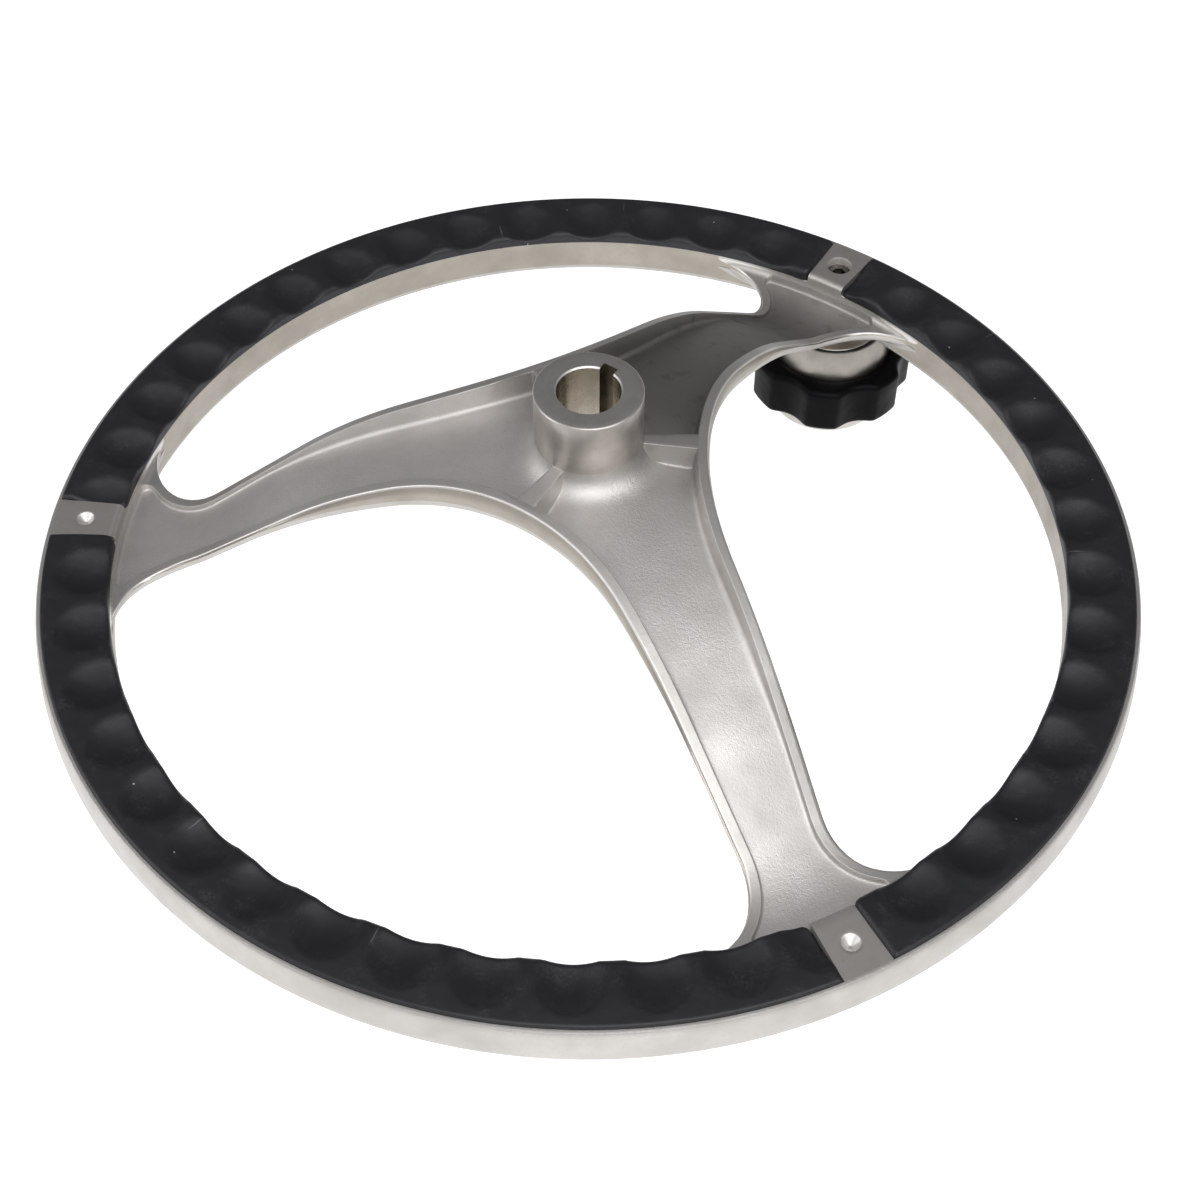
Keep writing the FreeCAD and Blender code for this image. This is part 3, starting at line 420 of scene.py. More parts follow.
fan_runs = list(np.linspace(TIP, RIM_START, 11)[1:])
rim_runs = list(np.linspace(RIM_START, PAD_RUN, 7)[1:])
pad_runs = list(np.linspace(PAD_RUN, TIP + RIM_RUN, 5)[1:])
runs = np.array(hub_runs + foot_runs + flank_runs + toe_runs + tip_runs + fan_runs + rim_runs + pad_runs)
boss_columns = len(hub_runs)
tip_column = int(np.argmin(abs(runs - TIP)))
pad_column = int(np.argmin(abs(runs - PAD_RUN)))
corner_sweep = (math.atan2(to_window[1], to_window[0]), round_turn)
FLANGE_STEPS = [0, 0.1, 0.28, EDGE_ROUND, 1.0, 1.5, 2.0, 2.45, FLANGE - 0.38]
FLOOR_STEPS = 13
FOOT_TURNS = np.radians([0, 16, 32, 48, 63, 76, 90])
MIDDLE_RADII = [57.7, 121.2, 137.5, 141.5, 144.5]


def smooth(x):
    x = np.clip(x, 0, 1)
    return x * x * (3 - 2 * x)


def column(run, boss, foot):
    """Plan points of one column of the grid."""
    start = edge_point(run, 0.0)
    radius = float(np.hypot(*start))
    depth = flange_height(radius) - floor_height(radius)
    if radius < RIB_REACH:
        depth = RIB_TOP - floor_height(radius)
    flange_end, wall_start, wall_end, floor_start, fillet = (float(v) for v in wall_marks(depth))
    arcs = floor_start - fillet * np.cos(np.radians([22, 38, 54, 70, 90]))
    wall = [flange_end, (flange_end + wall_start) / 2, wall_start, wall_end, *arcs]
    if run <= CORNER_START or run >= RIM_START:
        hollow = [edge_point(run, (FLANGE if run <= TIP else RIM_IN - HOLLOW_END) + w) for w in wall]
    else:
        share = (run - CORNER_START) / (RIM_START - CORNER_START)
        turned = corner_sweep[0] + share * (corner_sweep[1] - corner_sweep[0])
        hollow = [round_centre + polar(HOLLOW_CORNER - w, turned) for w in wall]
    begin, reach = (float(np.hypot(*start)), math.atan2(start[1], start[0])), hollow[0]
    finish = (float(np.hypot(*reach)), math.atan2(reach[1], reach[0]))
    flange = []
    for step in FLANGE_STEPS:
        share = step / (FLANGE + wall[0])
        if run <= CORNER_START:
            flange.append(edge_point(run, step))
        else:
            flange.append(polar(begin[0] + share * (finish[0] - begin[0]),
                                begin[1] + share * (finish[1] - begin[1])))
    inner = hollow[-1]
    end_runs = [RUN_TO_BOSS, HUB_RUN, HUB_RUN + FLANK_RUN, CORNER_START, RIM_START, TIP + RIM_RUN]
    end_r = np.interp(run, end_runs, [boss] + MIDDLE_RADII)
    rib_edge = math.asin(half_rib(BOSS) / BOSS)
    rib_eased = math.asin((half_rib(BOSS) + RIB_EASE - RIB_RUN) / BOSS)
    end_turn = np.interp(run, [0, RIB_RUN, RIB_EASE, RUN_TO_BOSS], [0, rib_edge, rib_eased, SPOKE_TURN])
    end = polar(end_r, end_turn)
    near_boss = 1 - smooth((run - RUN_TO_BOSS) / (HUB_RUN - RUN_TO_BOSS))
    span = float(np.linalg.norm(inner)) - boss
    foot_radii = foot * (1 - np.sin(FOOT_TURNS))
    shared = np.linspace(span, foot_radii[0], FLOOR_STEPS - len(FOOT_TURNS) + 2)[1:]
    to_boss = 1 - np.concatenate([shared, foot_radii[1:]]) / span if near_boss > 0 else 0
    shares = near_boss * to_boss + (1 - near_boss) * np.arange(1, FLOOR_STEPS + 1) / FLOOR_STEPS
    floor = [inner + (end - inner) * share for share in shares]
    points = np.array(flange + hollow + floor)
    return follow_rib(points, run) if run < 2 * RIB_EASE else points


def follow_rib(points, run):
    """Slides the columns beside a rib along their circles, so that they run parallel to its wall."""
    radius = np.linalg.norm(points, axis=-1)
    edge = half_rib(points[:, 0])
    wanted = edge + run - RIB_RUN if run > RIB_RUN else edge * run / RIB_RUN
    aside = points[:, 1] + (wanted - points[:, 1]) * (1 - smooth((run - RIB_EASE) / RIB_EASE))
    return np.stack([np.sqrt(radius ** 2 - aside ** 2), aside], -1)


def face(boss, foot, height):
    plan = np.stack([column(run, boss, foot) for run in runs], 1)
    return np.dstack([plan, height(plan)])


back_face = face(BOSS, BOSS_ROUND, back_height)
front_face = face(FRONT_BOSS, FRONT_FOOT, under_height)
print("grid of one sixth:", back_face.shape[:2], "points on each face")

# %% [markdown]
# ### The walls of a window
# The outer wall of a spoke joins the two faces. Castings are never quite flat there: this one swells
# by about half a millimetre between its edges and fades into the turned rim.

# %% Join the two faces at the window
WALL_ROWS = 7
WALL_SWELL, SWELL_END, SWELL_FADE = 0.55, 128, 18
share = np.linspace(0, 1, WALL_ROWS)[:, None]
edge_runs = runs[:tip_column + 1]
outline = np.array([edge_point(run, 0.0) for run in edge_runs])
swell_way = outline - np.array([edge_point(run, 0.5) for run in edge_runs])
swell_way /= np.linalg.norm(swell_way, axis=1)[:, None]
fading = smooth((np.hypot(*outline.T) - SWELL_END) / SWELL_FADE)
swell = WALL_SWELL * np.sin(math.pi * share) * (1 - fading)
top_edge, low_edge = back_face[0, :tip_column + 1, 2], front_face[0, :tip_column + 1, 2]
flank_wall = np.dstack([back_face[0, :tip_column + 1, 0] + swell_way[:, 0] * swell,
                        back_face[0, :tip_column + 1, 1] + swell_way[:, 1] * swell,
                        top_edge + (low_edge - top_edge) * share])
print("wall at the hub is", round(float(top_edge[0] - low_edge[0]), 1), "mm high")

# %% [markdown]
# ### The rim
# The rim is turned about the shaft, so it is one section swept round. The section changes only at the
# three pads: between them it dips into the channel that holds the grip, and at a pad it closes over.
# In the root of a spoke its angles are the ones at which the spoke's own columns start.

# %% Sweep the rim section
BELLY, BELLY_LEVEL, BELLY_BULGE, RIM_LOW = 171.5, -76.1, 1.2, -82.6
INNER_ROUND, INNER_LEVEL = 2.5, -80.1
OUTER_REACH, OUTER_POWER = 11.8, 0.74
CHANNEL_IN, CHANNEL_OUT, CHANNEL_FLOOR = 151.4, 169.1, -76.6
SHELF, SHELF_EDGE = -69.4, -69.7
PAD_IN = 150.7


def along(points, turns):
    """Sweeps section points (radius, height) through angles: one row a point, one column an angle."""
    points = np.array(points, float)
    return np.stack([points[:, :1] * np.cos(turns), points[:, :1] * np.sin(turns),
                     points[:, 1:] + 0 * turns], -1)


root_turns = CORNER_TURN + (runs[tip_column:] - TIP) / RIM_IN
window_turns = np.linspace(0, CORNER_TURN, 45)
rim_turns = np.concatenate([window_turns[:-1], root_turns])
before_pad = rim_turns[:len(window_turns) + pad_column - tip_column]
pad_turns = root_turns[pad_column - tip_column:]

inner_low = [(RIM_IN + INNER_ROUND - INNER_ROUND * math.cos(t), INNER_LEVEL - INNER_ROUND * math.sin(t))
             for t in np.radians([0, 18, 36, 54, 72, 90])]
outer_low = [(BELLY - OUTER_REACH + OUTER_REACH * math.cos(t) ** OUTER_POWER,
              BELLY_LEVEL - (BELLY_LEVEL - RIM_LOW) * math.sin(t) ** OUTER_POWER)
             for t in np.radians([89.9, 84, 77, 68, 58, 48, 38, 28, 18, 9, 3])]
belly = [(BELLY - BELLY_BULGE * ((z - BELLY_LEVEL) / (LIP - BELLY_LEVEL)) ** 2, z)
         for z in (BELLY_LEVEL, -73.7, -71.3, -68.9, -67.0)]
lip_edge = [(170.2, -66.66), (170.06, -66.48), (169.8, LIP), (CHANNEL_OUT, LIP)]
shell = along(inner_low + [(155.5, RIM_LOW)] + outer_low + belly + lip_edge, rim_turns)

wall_heights = flank_wall[:, -1, 2]
inner_wall = along([(RIM_IN, z) for z in wall_heights], window_turns)
low_window = along([(RIM_IN, wall_heights[-1]), (RIM_IN, INNER_LEVEL)], window_turns)
low_root = np.stack([front_face[0, tip_column:], along([(RIM_IN, INNER_LEVEL)], root_turns)[0]])

channel = [(CHANNEL_OUT, LIP), (CHANNEL_OUT, -68.0), (CHANNEL_OUT, CHANNEL_FLOOR),
           (CHANNEL_IN, CHANNEL_FLOOR), (CHANNEL_IN, SHELF), (149.2, SHELF), (RIM_IN, SHELF_EDGE)]
channel_sheet = along(channel, before_pad)
high_window = along([(RIM_IN, SHELF_EDGE), (RIM_IN, wall_heights[0])], window_turns)
high_root = np.stack([along([(RIM_IN, SHELF_EDGE)], root_turns)[0], back_face[0, tip_column:]])
pad_edge = [(RIM_IN, SHELF_EDGE), (RIM_IN, -68.1), (149.06, -67.4), (149.5, -66.83), (150.1, -66.5),
            (PAD_IN, LIP)]
pad_inner = along(pad_edge, pad_turns)
print("rim columns in one sixth:", len(rim_turns), "of which", len(pad_turns), "are on the pad")

# %% [markdown]
# ### The pads
# Two pads carry the cone of a centre drill, and the third the counterbored hole for the knob's screw.
# Rings of points run from the hole out to the straight edges of the pad, so the cone and its rim stay
# round.

# %% Lay out the pads
PAD_MIDDLE = 159.4


def pad_sheet(hole_rings):
    """Half a pad: rings from the hole to the pad's edges. Rings are (radius, height), inside first."""
    side = along([(r, LIP) for r in np.linspace(PAD_IN, CHANNEL_OUT, 15)], np.array([PAD_TURN]))[:, 0]
    inner = along([(PAD_IN, LIP)], pad_turns[::-1])[0]
    outer = along([(CHANNEL_OUT, LIP)], pad_turns)[0]
    border = np.concatenate([inner[:-1], side[:-1], outer])
    middle = np.array([PAD_MIDDLE * math.cos(SPOKE_TURN), PAD_MIDDLE * math.sin(SPOKE_TURN), 0])
    turns = SPOKE_TURN + math.pi + np.linspace(0, math.pi, len(border))
    rings = []
    for radius, height in hole_rings:
        ring = middle + radius * np.stack([np.cos(turns), np.sin(turns), 0 * turns], -1)
        ring[:, 2] = height
        rings.append(ring)
    last = rings[-1]
    spread = [last + (border - last) * s for s in (0.12, 0.35, 0.65, 1.0)]
    return np.array(rings + spread), side


dimple_rings = [(0.0, -68.5), (0.6, -68.35), (0.75, -68.2), (2.6, -66.62), (2.8, -66.46), (3.0, LIP)]
screw_rings = [(0.0, -81.5), (2.75, -81.5), (2.75, -73.6), (4.2, -73.6), (4.25, -73.5), (4.25, -66.7),
               (4.35, -66.5), (4.55, LIP)]
dimple_pad, pad_side = pad_sheet(dimple_rings)
screw_pad = pad_sheet(screw_rings)[0]
end_wall = np.concatenate([along(channel[::-1], np.array([PAD_TURN]))[:, 0], pad_side[::-1][1:],
                           along(pad_edge[::-1][1:-1], np.array([PAD_TURN]))[:, 0]])
print("pad rings:", dimple_pad.shape[0])

# %% [markdown]
# ### The hub
# The boss is turned on a lathe after casting, then bored and keyed. Its rings use the same angles as the
# spoke's grid. Where the keyway lies, the last few columns leave the bore's circle and follow the
# notch instead, so its corners stay sharp.

# %% Build the hub
BORE, KEY_HALF, KEY_END = 9.525, 2.38, 11.825
BOSS_EDGE, CHAMFER, FACE_RING, HUB_END = 0.6, 0.45, 13.6, -41.0
hub_turns = np.arctan2(back_face[-1, :boss_columns, 1], back_face[-1, :boss_columns, 0])
back_foot = back_face[-1, :boss_columns]
front_foot = front_face[-1, :boss_columns]
key_column = int(np.searchsorted(hub_turns, math.radians(45)))


def ring_points(radius, height):
    return along([(radius, height)], hub_turns)[0]


def bore_ring(radius, height, keyed):
    """A ring of the bore. With a keyway, the columns past its mouth follow the notch."""
    ring = ring_points(radius, height)
    if keyed:
        count = len(hub_turns) - key_column
        mouth = math.sqrt(radius ** 2 - KEY_HALF ** 2)
        outs = [mouth] + [KEY_END] * (count - 1)
        sides = [KEY_HALF] + list(np.linspace(KEY_HALF, 0, count - 1))
        for k, (out, aside) in enumerate(zip(outs, sides)):
            c, s = math.cos(SPOKE_TURN), math.sin(SPOKE_TURN)
            ring[key_column + k, :2] = (out * c + aside * s, out * s - aside * c)
    return ring


def hub_sheets(keyed):
    """Six sheets of the hub: rear wall, its rounding, rear end, chamfer, bore, and the whole front."""
    wall = [back_foot + (ring_points(BOSS, -BOSS_EDGE) - back_foot) * s for s in (0, 0.25, 0.5, 0.75, 1)]
    rounded = [ring_points(BOSS - BOSS_EDGE + BOSS_EDGE * math.cos(t), -BOSS_EDGE + BOSS_EDGE * math.sin(t))
               for t in np.radians([30, 60, 90])]
    face = [ring_points(FACE_RING, 0), bore_ring(BORE + CHAMFER, 0, keyed)]
    bore = [bore_ring(BORE, z, keyed) for z in (-CHAMFER, -1.5, -14, -27, -39.5, HUB_END + CHAMFER)]
    front = [bore_ring(BORE + CHAMFER, HUB_END, keyed), ring_points(FACE_RING, HUB_END)]
    low_start = HUB_END + BOSS_EDGE
    low = [ring_points(FRONT_BOSS - BOSS_EDGE + BOSS_EDGE * math.cos(t), low_start - BOSS_EDGE * math.sin(t))
           for t in np.radians([90, 60, 30, 0])]
    low_wall = [low[-1] + (front_foot - low[-1]) * s for s in (0.33, 0.66, 1)]
    return (np.array(wall), np.array([wall[-1]] + rounded), np.array([rounded[-1]] + face),
            np.array([face[-1], bore[0]]), np.array(bore + front[:1]), np.array(front + low + low_wall))


print("bore", 2 * BORE, "mm with a keyway", 2 * KEY_HALF, "mm wide")

# %% [markdown]
# ### Copy the sixth round the wheel
# Each sheet is mirrored and turned to its six places. Points that fall on each other are welded, which
# leaves one closed skin, and edges that turn by more than 35 degrees are marked sharp. The sheets carry
# the number of their finish: the blasted cast skin, the satin flanges and rim with their rubbed edges,
# whose lighter colour is a painted highlight, the side walls, darker as painted shade, the bore and its
# broached keyway, darkened with painted shade, the faced end of the hub, the turned boss, the bright
# chamfers and the brushed pads.

# %% Make the casting's mesh
# The side walls and the keyway carry painted shade, and the rubbed edges carry a painted highlight.
CAST, SATIN, SHADED_SIDE, RUBBED_HIGHLIT, BORED, BROACHED_SHADED, FACED, TURNED, BRIGHT, BRUSHED = range(10)
EDGE_ROWS = 3
WELD = 2e-6


class Skin:
    """Collects sheets of points as quads, each with the number of its finish."""

    def __init__(self):
        self.points, self.faces, self.finishes = [], [], []

    def sheet(self, grid, finish=0):
        rows, columns = grid.shape[:2]
        start = len(self.points)
        self.points.extend(map(tuple, grid.reshape(-1, 3) * MM))
        for i in range(rows - 1):
            for j in range(columns - 1):
                corner = start + i * columns + j
                self.faces.append((corner, corner + 1, corner + columns + 1, corner + columns))
                self.finishes.append(finish)

    def flat(self, loop, finish=0):
        start = len(self.points)
        self.points.extend(map(tuple, loop * MM))
        self.faces.append(tuple(range(start, start + len(loop))))
        self.finishes.append(finish)


def finished_piece(name, skin, materials, body, sharp_degrees=35):
    """Welds a skin into one mesh object that rides on a body."""
    mesh = bpy.data.meshes.new(name)
    mesh.from_pydata(skin.points, [], skin.faces)
    mesh.polygons.foreach_set("material_index", skin.finishes)
    for material in materials:
        mesh.materials.append(material)
    work = bmesh.new()
    work.from_mesh(mesh)
    bmesh.ops.remove_doubles(work, verts=work.verts, dist=WELD)
    bmesh.ops.dissolve_degenerate(work, dist=WELD / 2, edges=work.edges)
    bmesh.ops.recalc_face_normals(work, faces=work.faces)
    limit = math.radians(sharp_degrees)
    for face in work.faces:
        face.smooth = True
    for edge in work.edges:
        edge.smooth = len(edge.link_faces) == 2 and edge.calc_face_angle(0) < limit
    open_edges = sum(len(edge.link_faces) != 2 for edge in work.edges)
    work.to_mesh(mesh)
    work.free()
    piece = bpy.data.objects.new(name, mesh)
    bpy.context.scene.collection.objects.link(piece)
    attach(piece, body)
    print(name, len(mesh.polygons), "faces,", open_edges, "open edges")
    return piece


def placed(grid, mirrored, third):
    """A sheet in one of the six places round the shaft."""
    turned = math.radians(120 * third)
    c, s = math.cos(turned), math.sin(turned)
    sheet = grid.copy()
    if mirrored:
        sheet[..., 1] *= -1
    x, y = sheet[..., 0].copy(), sheet[..., 1].copy()
    sheet[..., 0], sheet[..., 1] = c * x - s * y, s * x + c * y
    return sheet


casting = Skin()
for third in range(3):
    for mirrored in (False, True):
        on_knob_spoke = third == (1 if mirrored else 0)
        boss_wall, boss_edge, rear_end, bore_edge, bore_wall, front_end = hub_sheets(on_knob_spoke)
        pad, drilled = (screw_pad, 6) if on_knob_spoke else (dimple_pad, 4)
        key = key_column if on_knob_spoke else boss_columns
        flange_rows = len(FLANGE_STEPS)
        for sheet, finish in ((back_face[:EDGE_ROWS + 1], RUBBED_HIGHLIT),
                              (back_face[EDGE_ROWS:flange_rows + 1], SATIN),
                              (back_face[flange_rows:], CAST), (front_face, SATIN), (flank_wall, SHADED_SIDE),
                              (shell, SATIN), (inner_wall, SHADED_SIDE), (low_window, SHADED_SIDE), (low_root, SHADED_SIDE),
                              (channel_sheet, CAST), (high_window, SHADED_SIDE), (high_root, SATIN),
                              (pad_inner, SATIN), (pad[:drilled + 1], BRIGHT), (pad[drilled:], BRUSHED),
                              (boss_wall, TURNED), (boss_edge, TURNED), (rear_end, FACED),
                              (bore_edge[:, :key + 1], BRIGHT), (bore_edge[:, key:], BROACHED_SHADED),
                              (bore_wall[:, :key + 1], BORED), (bore_wall[:, key:], BROACHED_SHADED),
                              (front_end, TURNED)):
            casting.sheet(placed(sheet, mirrored, third), finish)
        casting.flat(placed(end_wall, mirrored, third), CAST)
print("casting sheets:", len(casting.faces), "faces before welding")

# %% [markdown]
# ## Cast and blasted stainless
# The casting is 316 stainless, poured in sand and blasted with fine grit. The eye gets a satin grey with
# a slight warmth, a fine grain of a third of a millimetre on wrinkles of just under one, and soft clouds
# in tone where the skin of the cast is thicker. A metal has no colour of its own under its shine:
# Metallic is 1, the base colour is the tint of the reflection, and roughness does the rest.

# %% A surface that every blasted face shares
COLOURS = {"data_type": "RGBA"}
CLOUD_MM, PIT_MM = 16, 0.7
WAVE_MM, WAVE_HEIGHT_MM = 11, 0.08
WRINKLE_SPAN, WRINKLE_SHARE = 2.6, 1.2


def clouded(tree, place, size_mm, low, high):
    """Noise of a given size, stretched to 0..1 between two of its values."""
    noise = add_node(tree, "ShaderNodeTexNoise", None, Vector=place, Scale=1 / (size_mm * MM), Detail=3.0,
                     Roughness=0.55)
    return add_node(tree, "ShaderNodeMapRange", None, Value=noise.outputs["Fac"], From_Min=low,
                    From_Max=high).outputs["Result"]


def blasted_steel(name, colour, dark, roughness, grain_mm, grain_height_mm):
    """Grit-blasted stainless: cloudy tone, cast wrinkles, fine grain and a gentle waviness."""
    material, tree, shader = new_material(name)
    place = add_node(tree, "ShaderNodeTexCoord").outputs["Object"]
    clouds = clouded(tree, place, CLOUD_MM, 0.3, 0.7)
    grain = add_node(tree, "ShaderNodeTexNoise", None, Vector=place, Scale=1 / (grain_mm * MM), Detail=1.5,
                     Roughness=0.6).outputs["Fac"]
    wrinkles = add_node(tree, "ShaderNodeTexNoise", None, Vector=place,
                        Scale=1 / (WRINKLE_SPAN * grain_mm * MM), Detail=2.0, Distortion=0.6).outputs["Fac"]
    waves = add_node(tree, "ShaderNodeTexNoise", None, Vector=place, Scale=1 / (WAVE_MM * MM), Detail=1.0)
    tone = add_node(tree, "ShaderNodeMix", COLOURS, _0=clouds, _6=linear(dark), _7=linear(colour))
    pits = clouded(tree, place, PIT_MM, 0.55, 0.8)
    worn = add_node(tree, "ShaderNodeMix", COLOURS, _0=pits, _6=tone.outputs[2], _7=linear(dark))
    tree.links.new(worn.outputs[2], shader.inputs["Base Color"])
    deeper = add_node(tree, "ShaderNodeMath", TIMES, _0=wrinkles, _1=WRINKLE_SHARE)
    height = add_node(tree, "ShaderNodeMath", PLUS, _0=grain, _1=deeper.outputs[0])
    bump = add_node(tree, "ShaderNodeBump", None, Strength=1.0, Distance=grain_height_mm * MM,
                    Height=height.outputs[0])
    swell = add_node(tree, "ShaderNodeBump", None, Strength=1.0, Distance=WAVE_HEIGHT_MM * MM,
                     Height=waves.outputs["Fac"], Normal=bump.outputs[0])
    tree.links.new(swell.outputs[0], shader.inputs["Normal"])
    rough = add_node(tree, "ShaderNodeMapRange", None, Value=clouds, To_Min=roughness + 0.04,
                     To_Max=roughness - 0.03)
    tree.links.new(rough.outputs["Result"], shader.inputs["Roughness"])
    shader.inputs["Metallic"].default_value = 1.0
    return material, tree, shader


cast_steel, cast_tree, cast_shader = blasted_steel("sand_cast_316_stainless_blasted", "#d2cfcc", "#c1beba",
                                                   0.54, 0.34, 0.08)
satin_steel = blasted_steel("satin_blasted_316_stainless", "#c6c3bf", "#b9b6b1", 0.48, 0.42, 0.05)[0]
# The walls of the windows get a darker copy of the satin finish: painted shade.
shaded_side_steel = blasted_steel("satin_blasted_316_stainless_side_painted_shade", "#aea89f", "#9d978e", 0.42, 0.5, 0.03)[0]
# The rubbed edges are smoother from wear, and their lighter colour is a painted highlight.
rubbed_highlit_steel = blasted_steel("hand_rubbed_316_stainless_edge_painted_highlight", "#dedbd7", "#cfccc8", 0.36, 0.5, 0.01)[0]
print("blasted finishes:", [m.name for m in (cast_steel, satin_steel, shaded_side_steel, rubbed_highlit_steel)])

# %% [markdown]
# ### Painted shade, a grey film and stains
# The spoke that carries the knob is the darkest one in the photograph. Part of that is shade, because it
# faces the dark back of the room, and part is a dull grey film on its cast skin, with a few small dark
# stains. One grey paints in both the shade and the film. A distance from the middle of that spoke fades it
# in, so the other two spokes stay clean.

# %% Add the painted shade, the film and the stains to one spoke
# Painted shade and a dull grey film darken the cast skin round this point of the spoke.
DARKENED_SPOKE = (40.0 * MM, 69.0 * MM, -42.0 * MM)
DARKENING_FULL, DARKENING_GONE, DARKENING_SHARE = 50 * MM, 95 * MM, 0.95
STAIN_MM = 6

place = add_node(cast_tree, "ShaderNodeTexCoord").outputs["Object"]
far = add_node(cast_tree, "ShaderNodeVectorMath", {"operation": "DISTANCE"}, _0=place, _1=DARKENED_SPOKE)
darkening = add_node(cast_tree, "ShaderNodeMapRange", {"interpolation_type": "SMOOTHSTEP"},
                Value=far.outputs["Value"], From_Min=DARKENING_GONE, From_Max=DARKENING_FULL)
clean = cast_shader.inputs["Base Color"].links[0].from_socket
darkened_share = add_node(cast_tree, "ShaderNodeMath", TIMES, _0=darkening.outputs["Result"], _1=DARKENING_SHARE)
# This grey stands both for the real film and for painted shade.
darkened_skin = add_node(cast_tree, "ShaderNodeMix", COLOURS, _0=darkened_share.outputs[0], _6=clean,
                  _7=linear("#7a7773"))
spots = clouded(cast_tree, place, STAIN_MM, 0.58, 0.95)
spot_share = add_node(cast_tree, "ShaderNodeMath", TIMES, _0=darkened_share.outputs[0], _1=spots)
stained = add_node(cast_tree, "ShaderNodeMix", COLOURS, _0=spot_share.outputs[0], _6=darkened_skin.outputs[2],
                   _7=linear("#4d4944"))
cast_tree.links.new(stained.outputs[2], cast_shader.inputs["Base Color"])
print("the film fades out", round(DARKENING_FULL / MM), "to", round(DARKENING_GONE / MM), "mm from the spoke's middle")

# %% [markdown]
# ### Machined faces
# The boss, its end and the bore were cut on a lathe, and so were the knob's cup, stem and cap. A lathe
# leaves fine rings about its axis, about 0.2 mm apart. A noise that depends only on the distance from
# the axis and on the height draws such rings on flat ends and round walls alike. Here they are 0.45 mm
# apart, because 0.2 mm wouldn't show in the render. Small dark marks are pits in the casting that the
# tool has opened. The same rings, at other depths, stand for the marks of the broach in the keyway and
# of the brush on the pads.

# %% Lathe-turned steel
RING_GAP_MM, TURNED_CLOUD_MM, OPENED_PIT_MM = 0.45, 7, 1.3
OPENED_PIT_SHARE = 0.6


def turned_steel(name, colour, dark, pitted, roughness, ring_height_mm, axis=(0.0, 0.0, 0.0)):
    """Machined steel: fine rings about an axis, a cloudy tone and a few opened pits."""
    material, tree, shader = new_material(name)
    place = add_node(tree, "ShaderNodeTexCoord").outputs["Object"]
    moved = add_node(tree, "ShaderNodeVectorMath", {"operation": "SUBTRACT"}, _0=place, _1=axis).outputs[0]
    parts = add_node(tree, "ShaderNodeSeparateXYZ", None, Vector=moved)
    level_place = add_node(tree, "ShaderNodeCombineXYZ", None, X=parts.outputs["X"], Y=parts.outputs["Y"])
    away = add_node(tree, "ShaderNodeVectorMath", {"operation": "LENGTH"}, _0=level_place.outputs[0])
    section = add_node(tree, "ShaderNodeCombineXYZ", None, X=away.outputs["Value"], Z=parts.outputs["Z"])
    rings = add_node(tree, "ShaderNodeTexNoise", None, Vector=section.outputs[0],
                     Scale=1 / (RING_GAP_MM * MM), Detail=2.0, Roughness=0.6).outputs["Fac"]
    clouds = clouded(tree, place, TURNED_CLOUD_MM, 0.3, 0.7)
    marks = clouded(tree, place, OPENED_PIT_MM, 0.66, 0.76)
    tone = add_node(tree, "ShaderNodeMix", COLOURS, _0=clouds, _6=linear(dark), _7=linear(colour))
    marked = add_node(tree, "ShaderNodeMath", TIMES, _0=marks, _1=OPENED_PIT_SHARE)
    marked = add_node(tree, "ShaderNodeMix", COLOURS, _0=marked.outputs[0], _6=tone.outputs[2],
                      _7=linear(pitted))
    tree.links.new(marked.outputs[2], shader.inputs["Base Color"])
    bump = add_node(tree, "ShaderNodeBump", None, Strength=1.0, Distance=ring_height_mm * MM, Height=rings)
    tree.links.new(bump.outputs[0], shader.inputs["Normal"])
    rough = add_node(tree, "ShaderNodeMapRange", None, Value=clouds, To_Min=roughness + 0.05,
                     To_Max=roughness - 0.03)
    tree.links.new(rough.outputs["Result"], shader.inputs["Roughness"])
    shader.inputs["Metallic"].default_value = 1.0
    return material


boss_steel = turned_steel("turned_316_stainless_boss", "#c9c4bf", "#b5b0ab", "#938e88", 0.38, 0.01)
bored_steel = turned_steel("bored_316_stainless", "#cbc6bc", "#b9b3a9", "#5c564d", 0.26, 0.006)
# The keyway's much darker colour is painted shade in the notch.
broached_shaded_steel = turned_steel("broached_316_stainless_keyway_painted_shade", "#8f877b", "#655f54", "#3a352e", 0.36, 0.02)
faced_steel = turned_steel("faced_316_stainless_end", "#c2bfba", "#aeaba6", "#8d8a85", 0.38, 0.024)
chamfer_steel = turned_steel("drilled_and_chamfered_316_stainless", "#dedcd8", "#cfccc8", "#a9a6a1",
                             0.5, 0.01)
brushed_steel = turned_steel("brushed_316_stainless_pad", "#cbc7c1", "#bbb7b0", "#98948d", 0.38, 0.012)
casting_piece = finished_piece("stainless_casting", casting,
                               [cast_steel, satin_steel, shaded_side_steel, rubbed_highlit_steel, bored_steel,
                                broached_shaded_steel, faced_steel, boss_steel, chamfer_steel, brushed_steel],
                               "wheel")
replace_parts(casting_piece, "wheel_casting")

# %% [markdown]
# ## The rubber grips
# Each grip is a strip of moulded black rubber pressed into the rim's channel, with a row of hollows for
# the fingers along its inner edge. It could be modelled with a boolean for each hollow, but moulded
# rubber has no sharp edge there. So its height is one smooth function of radius and angle: a crowned
# strip, less a soft-edged bowl every 8.35 degrees.

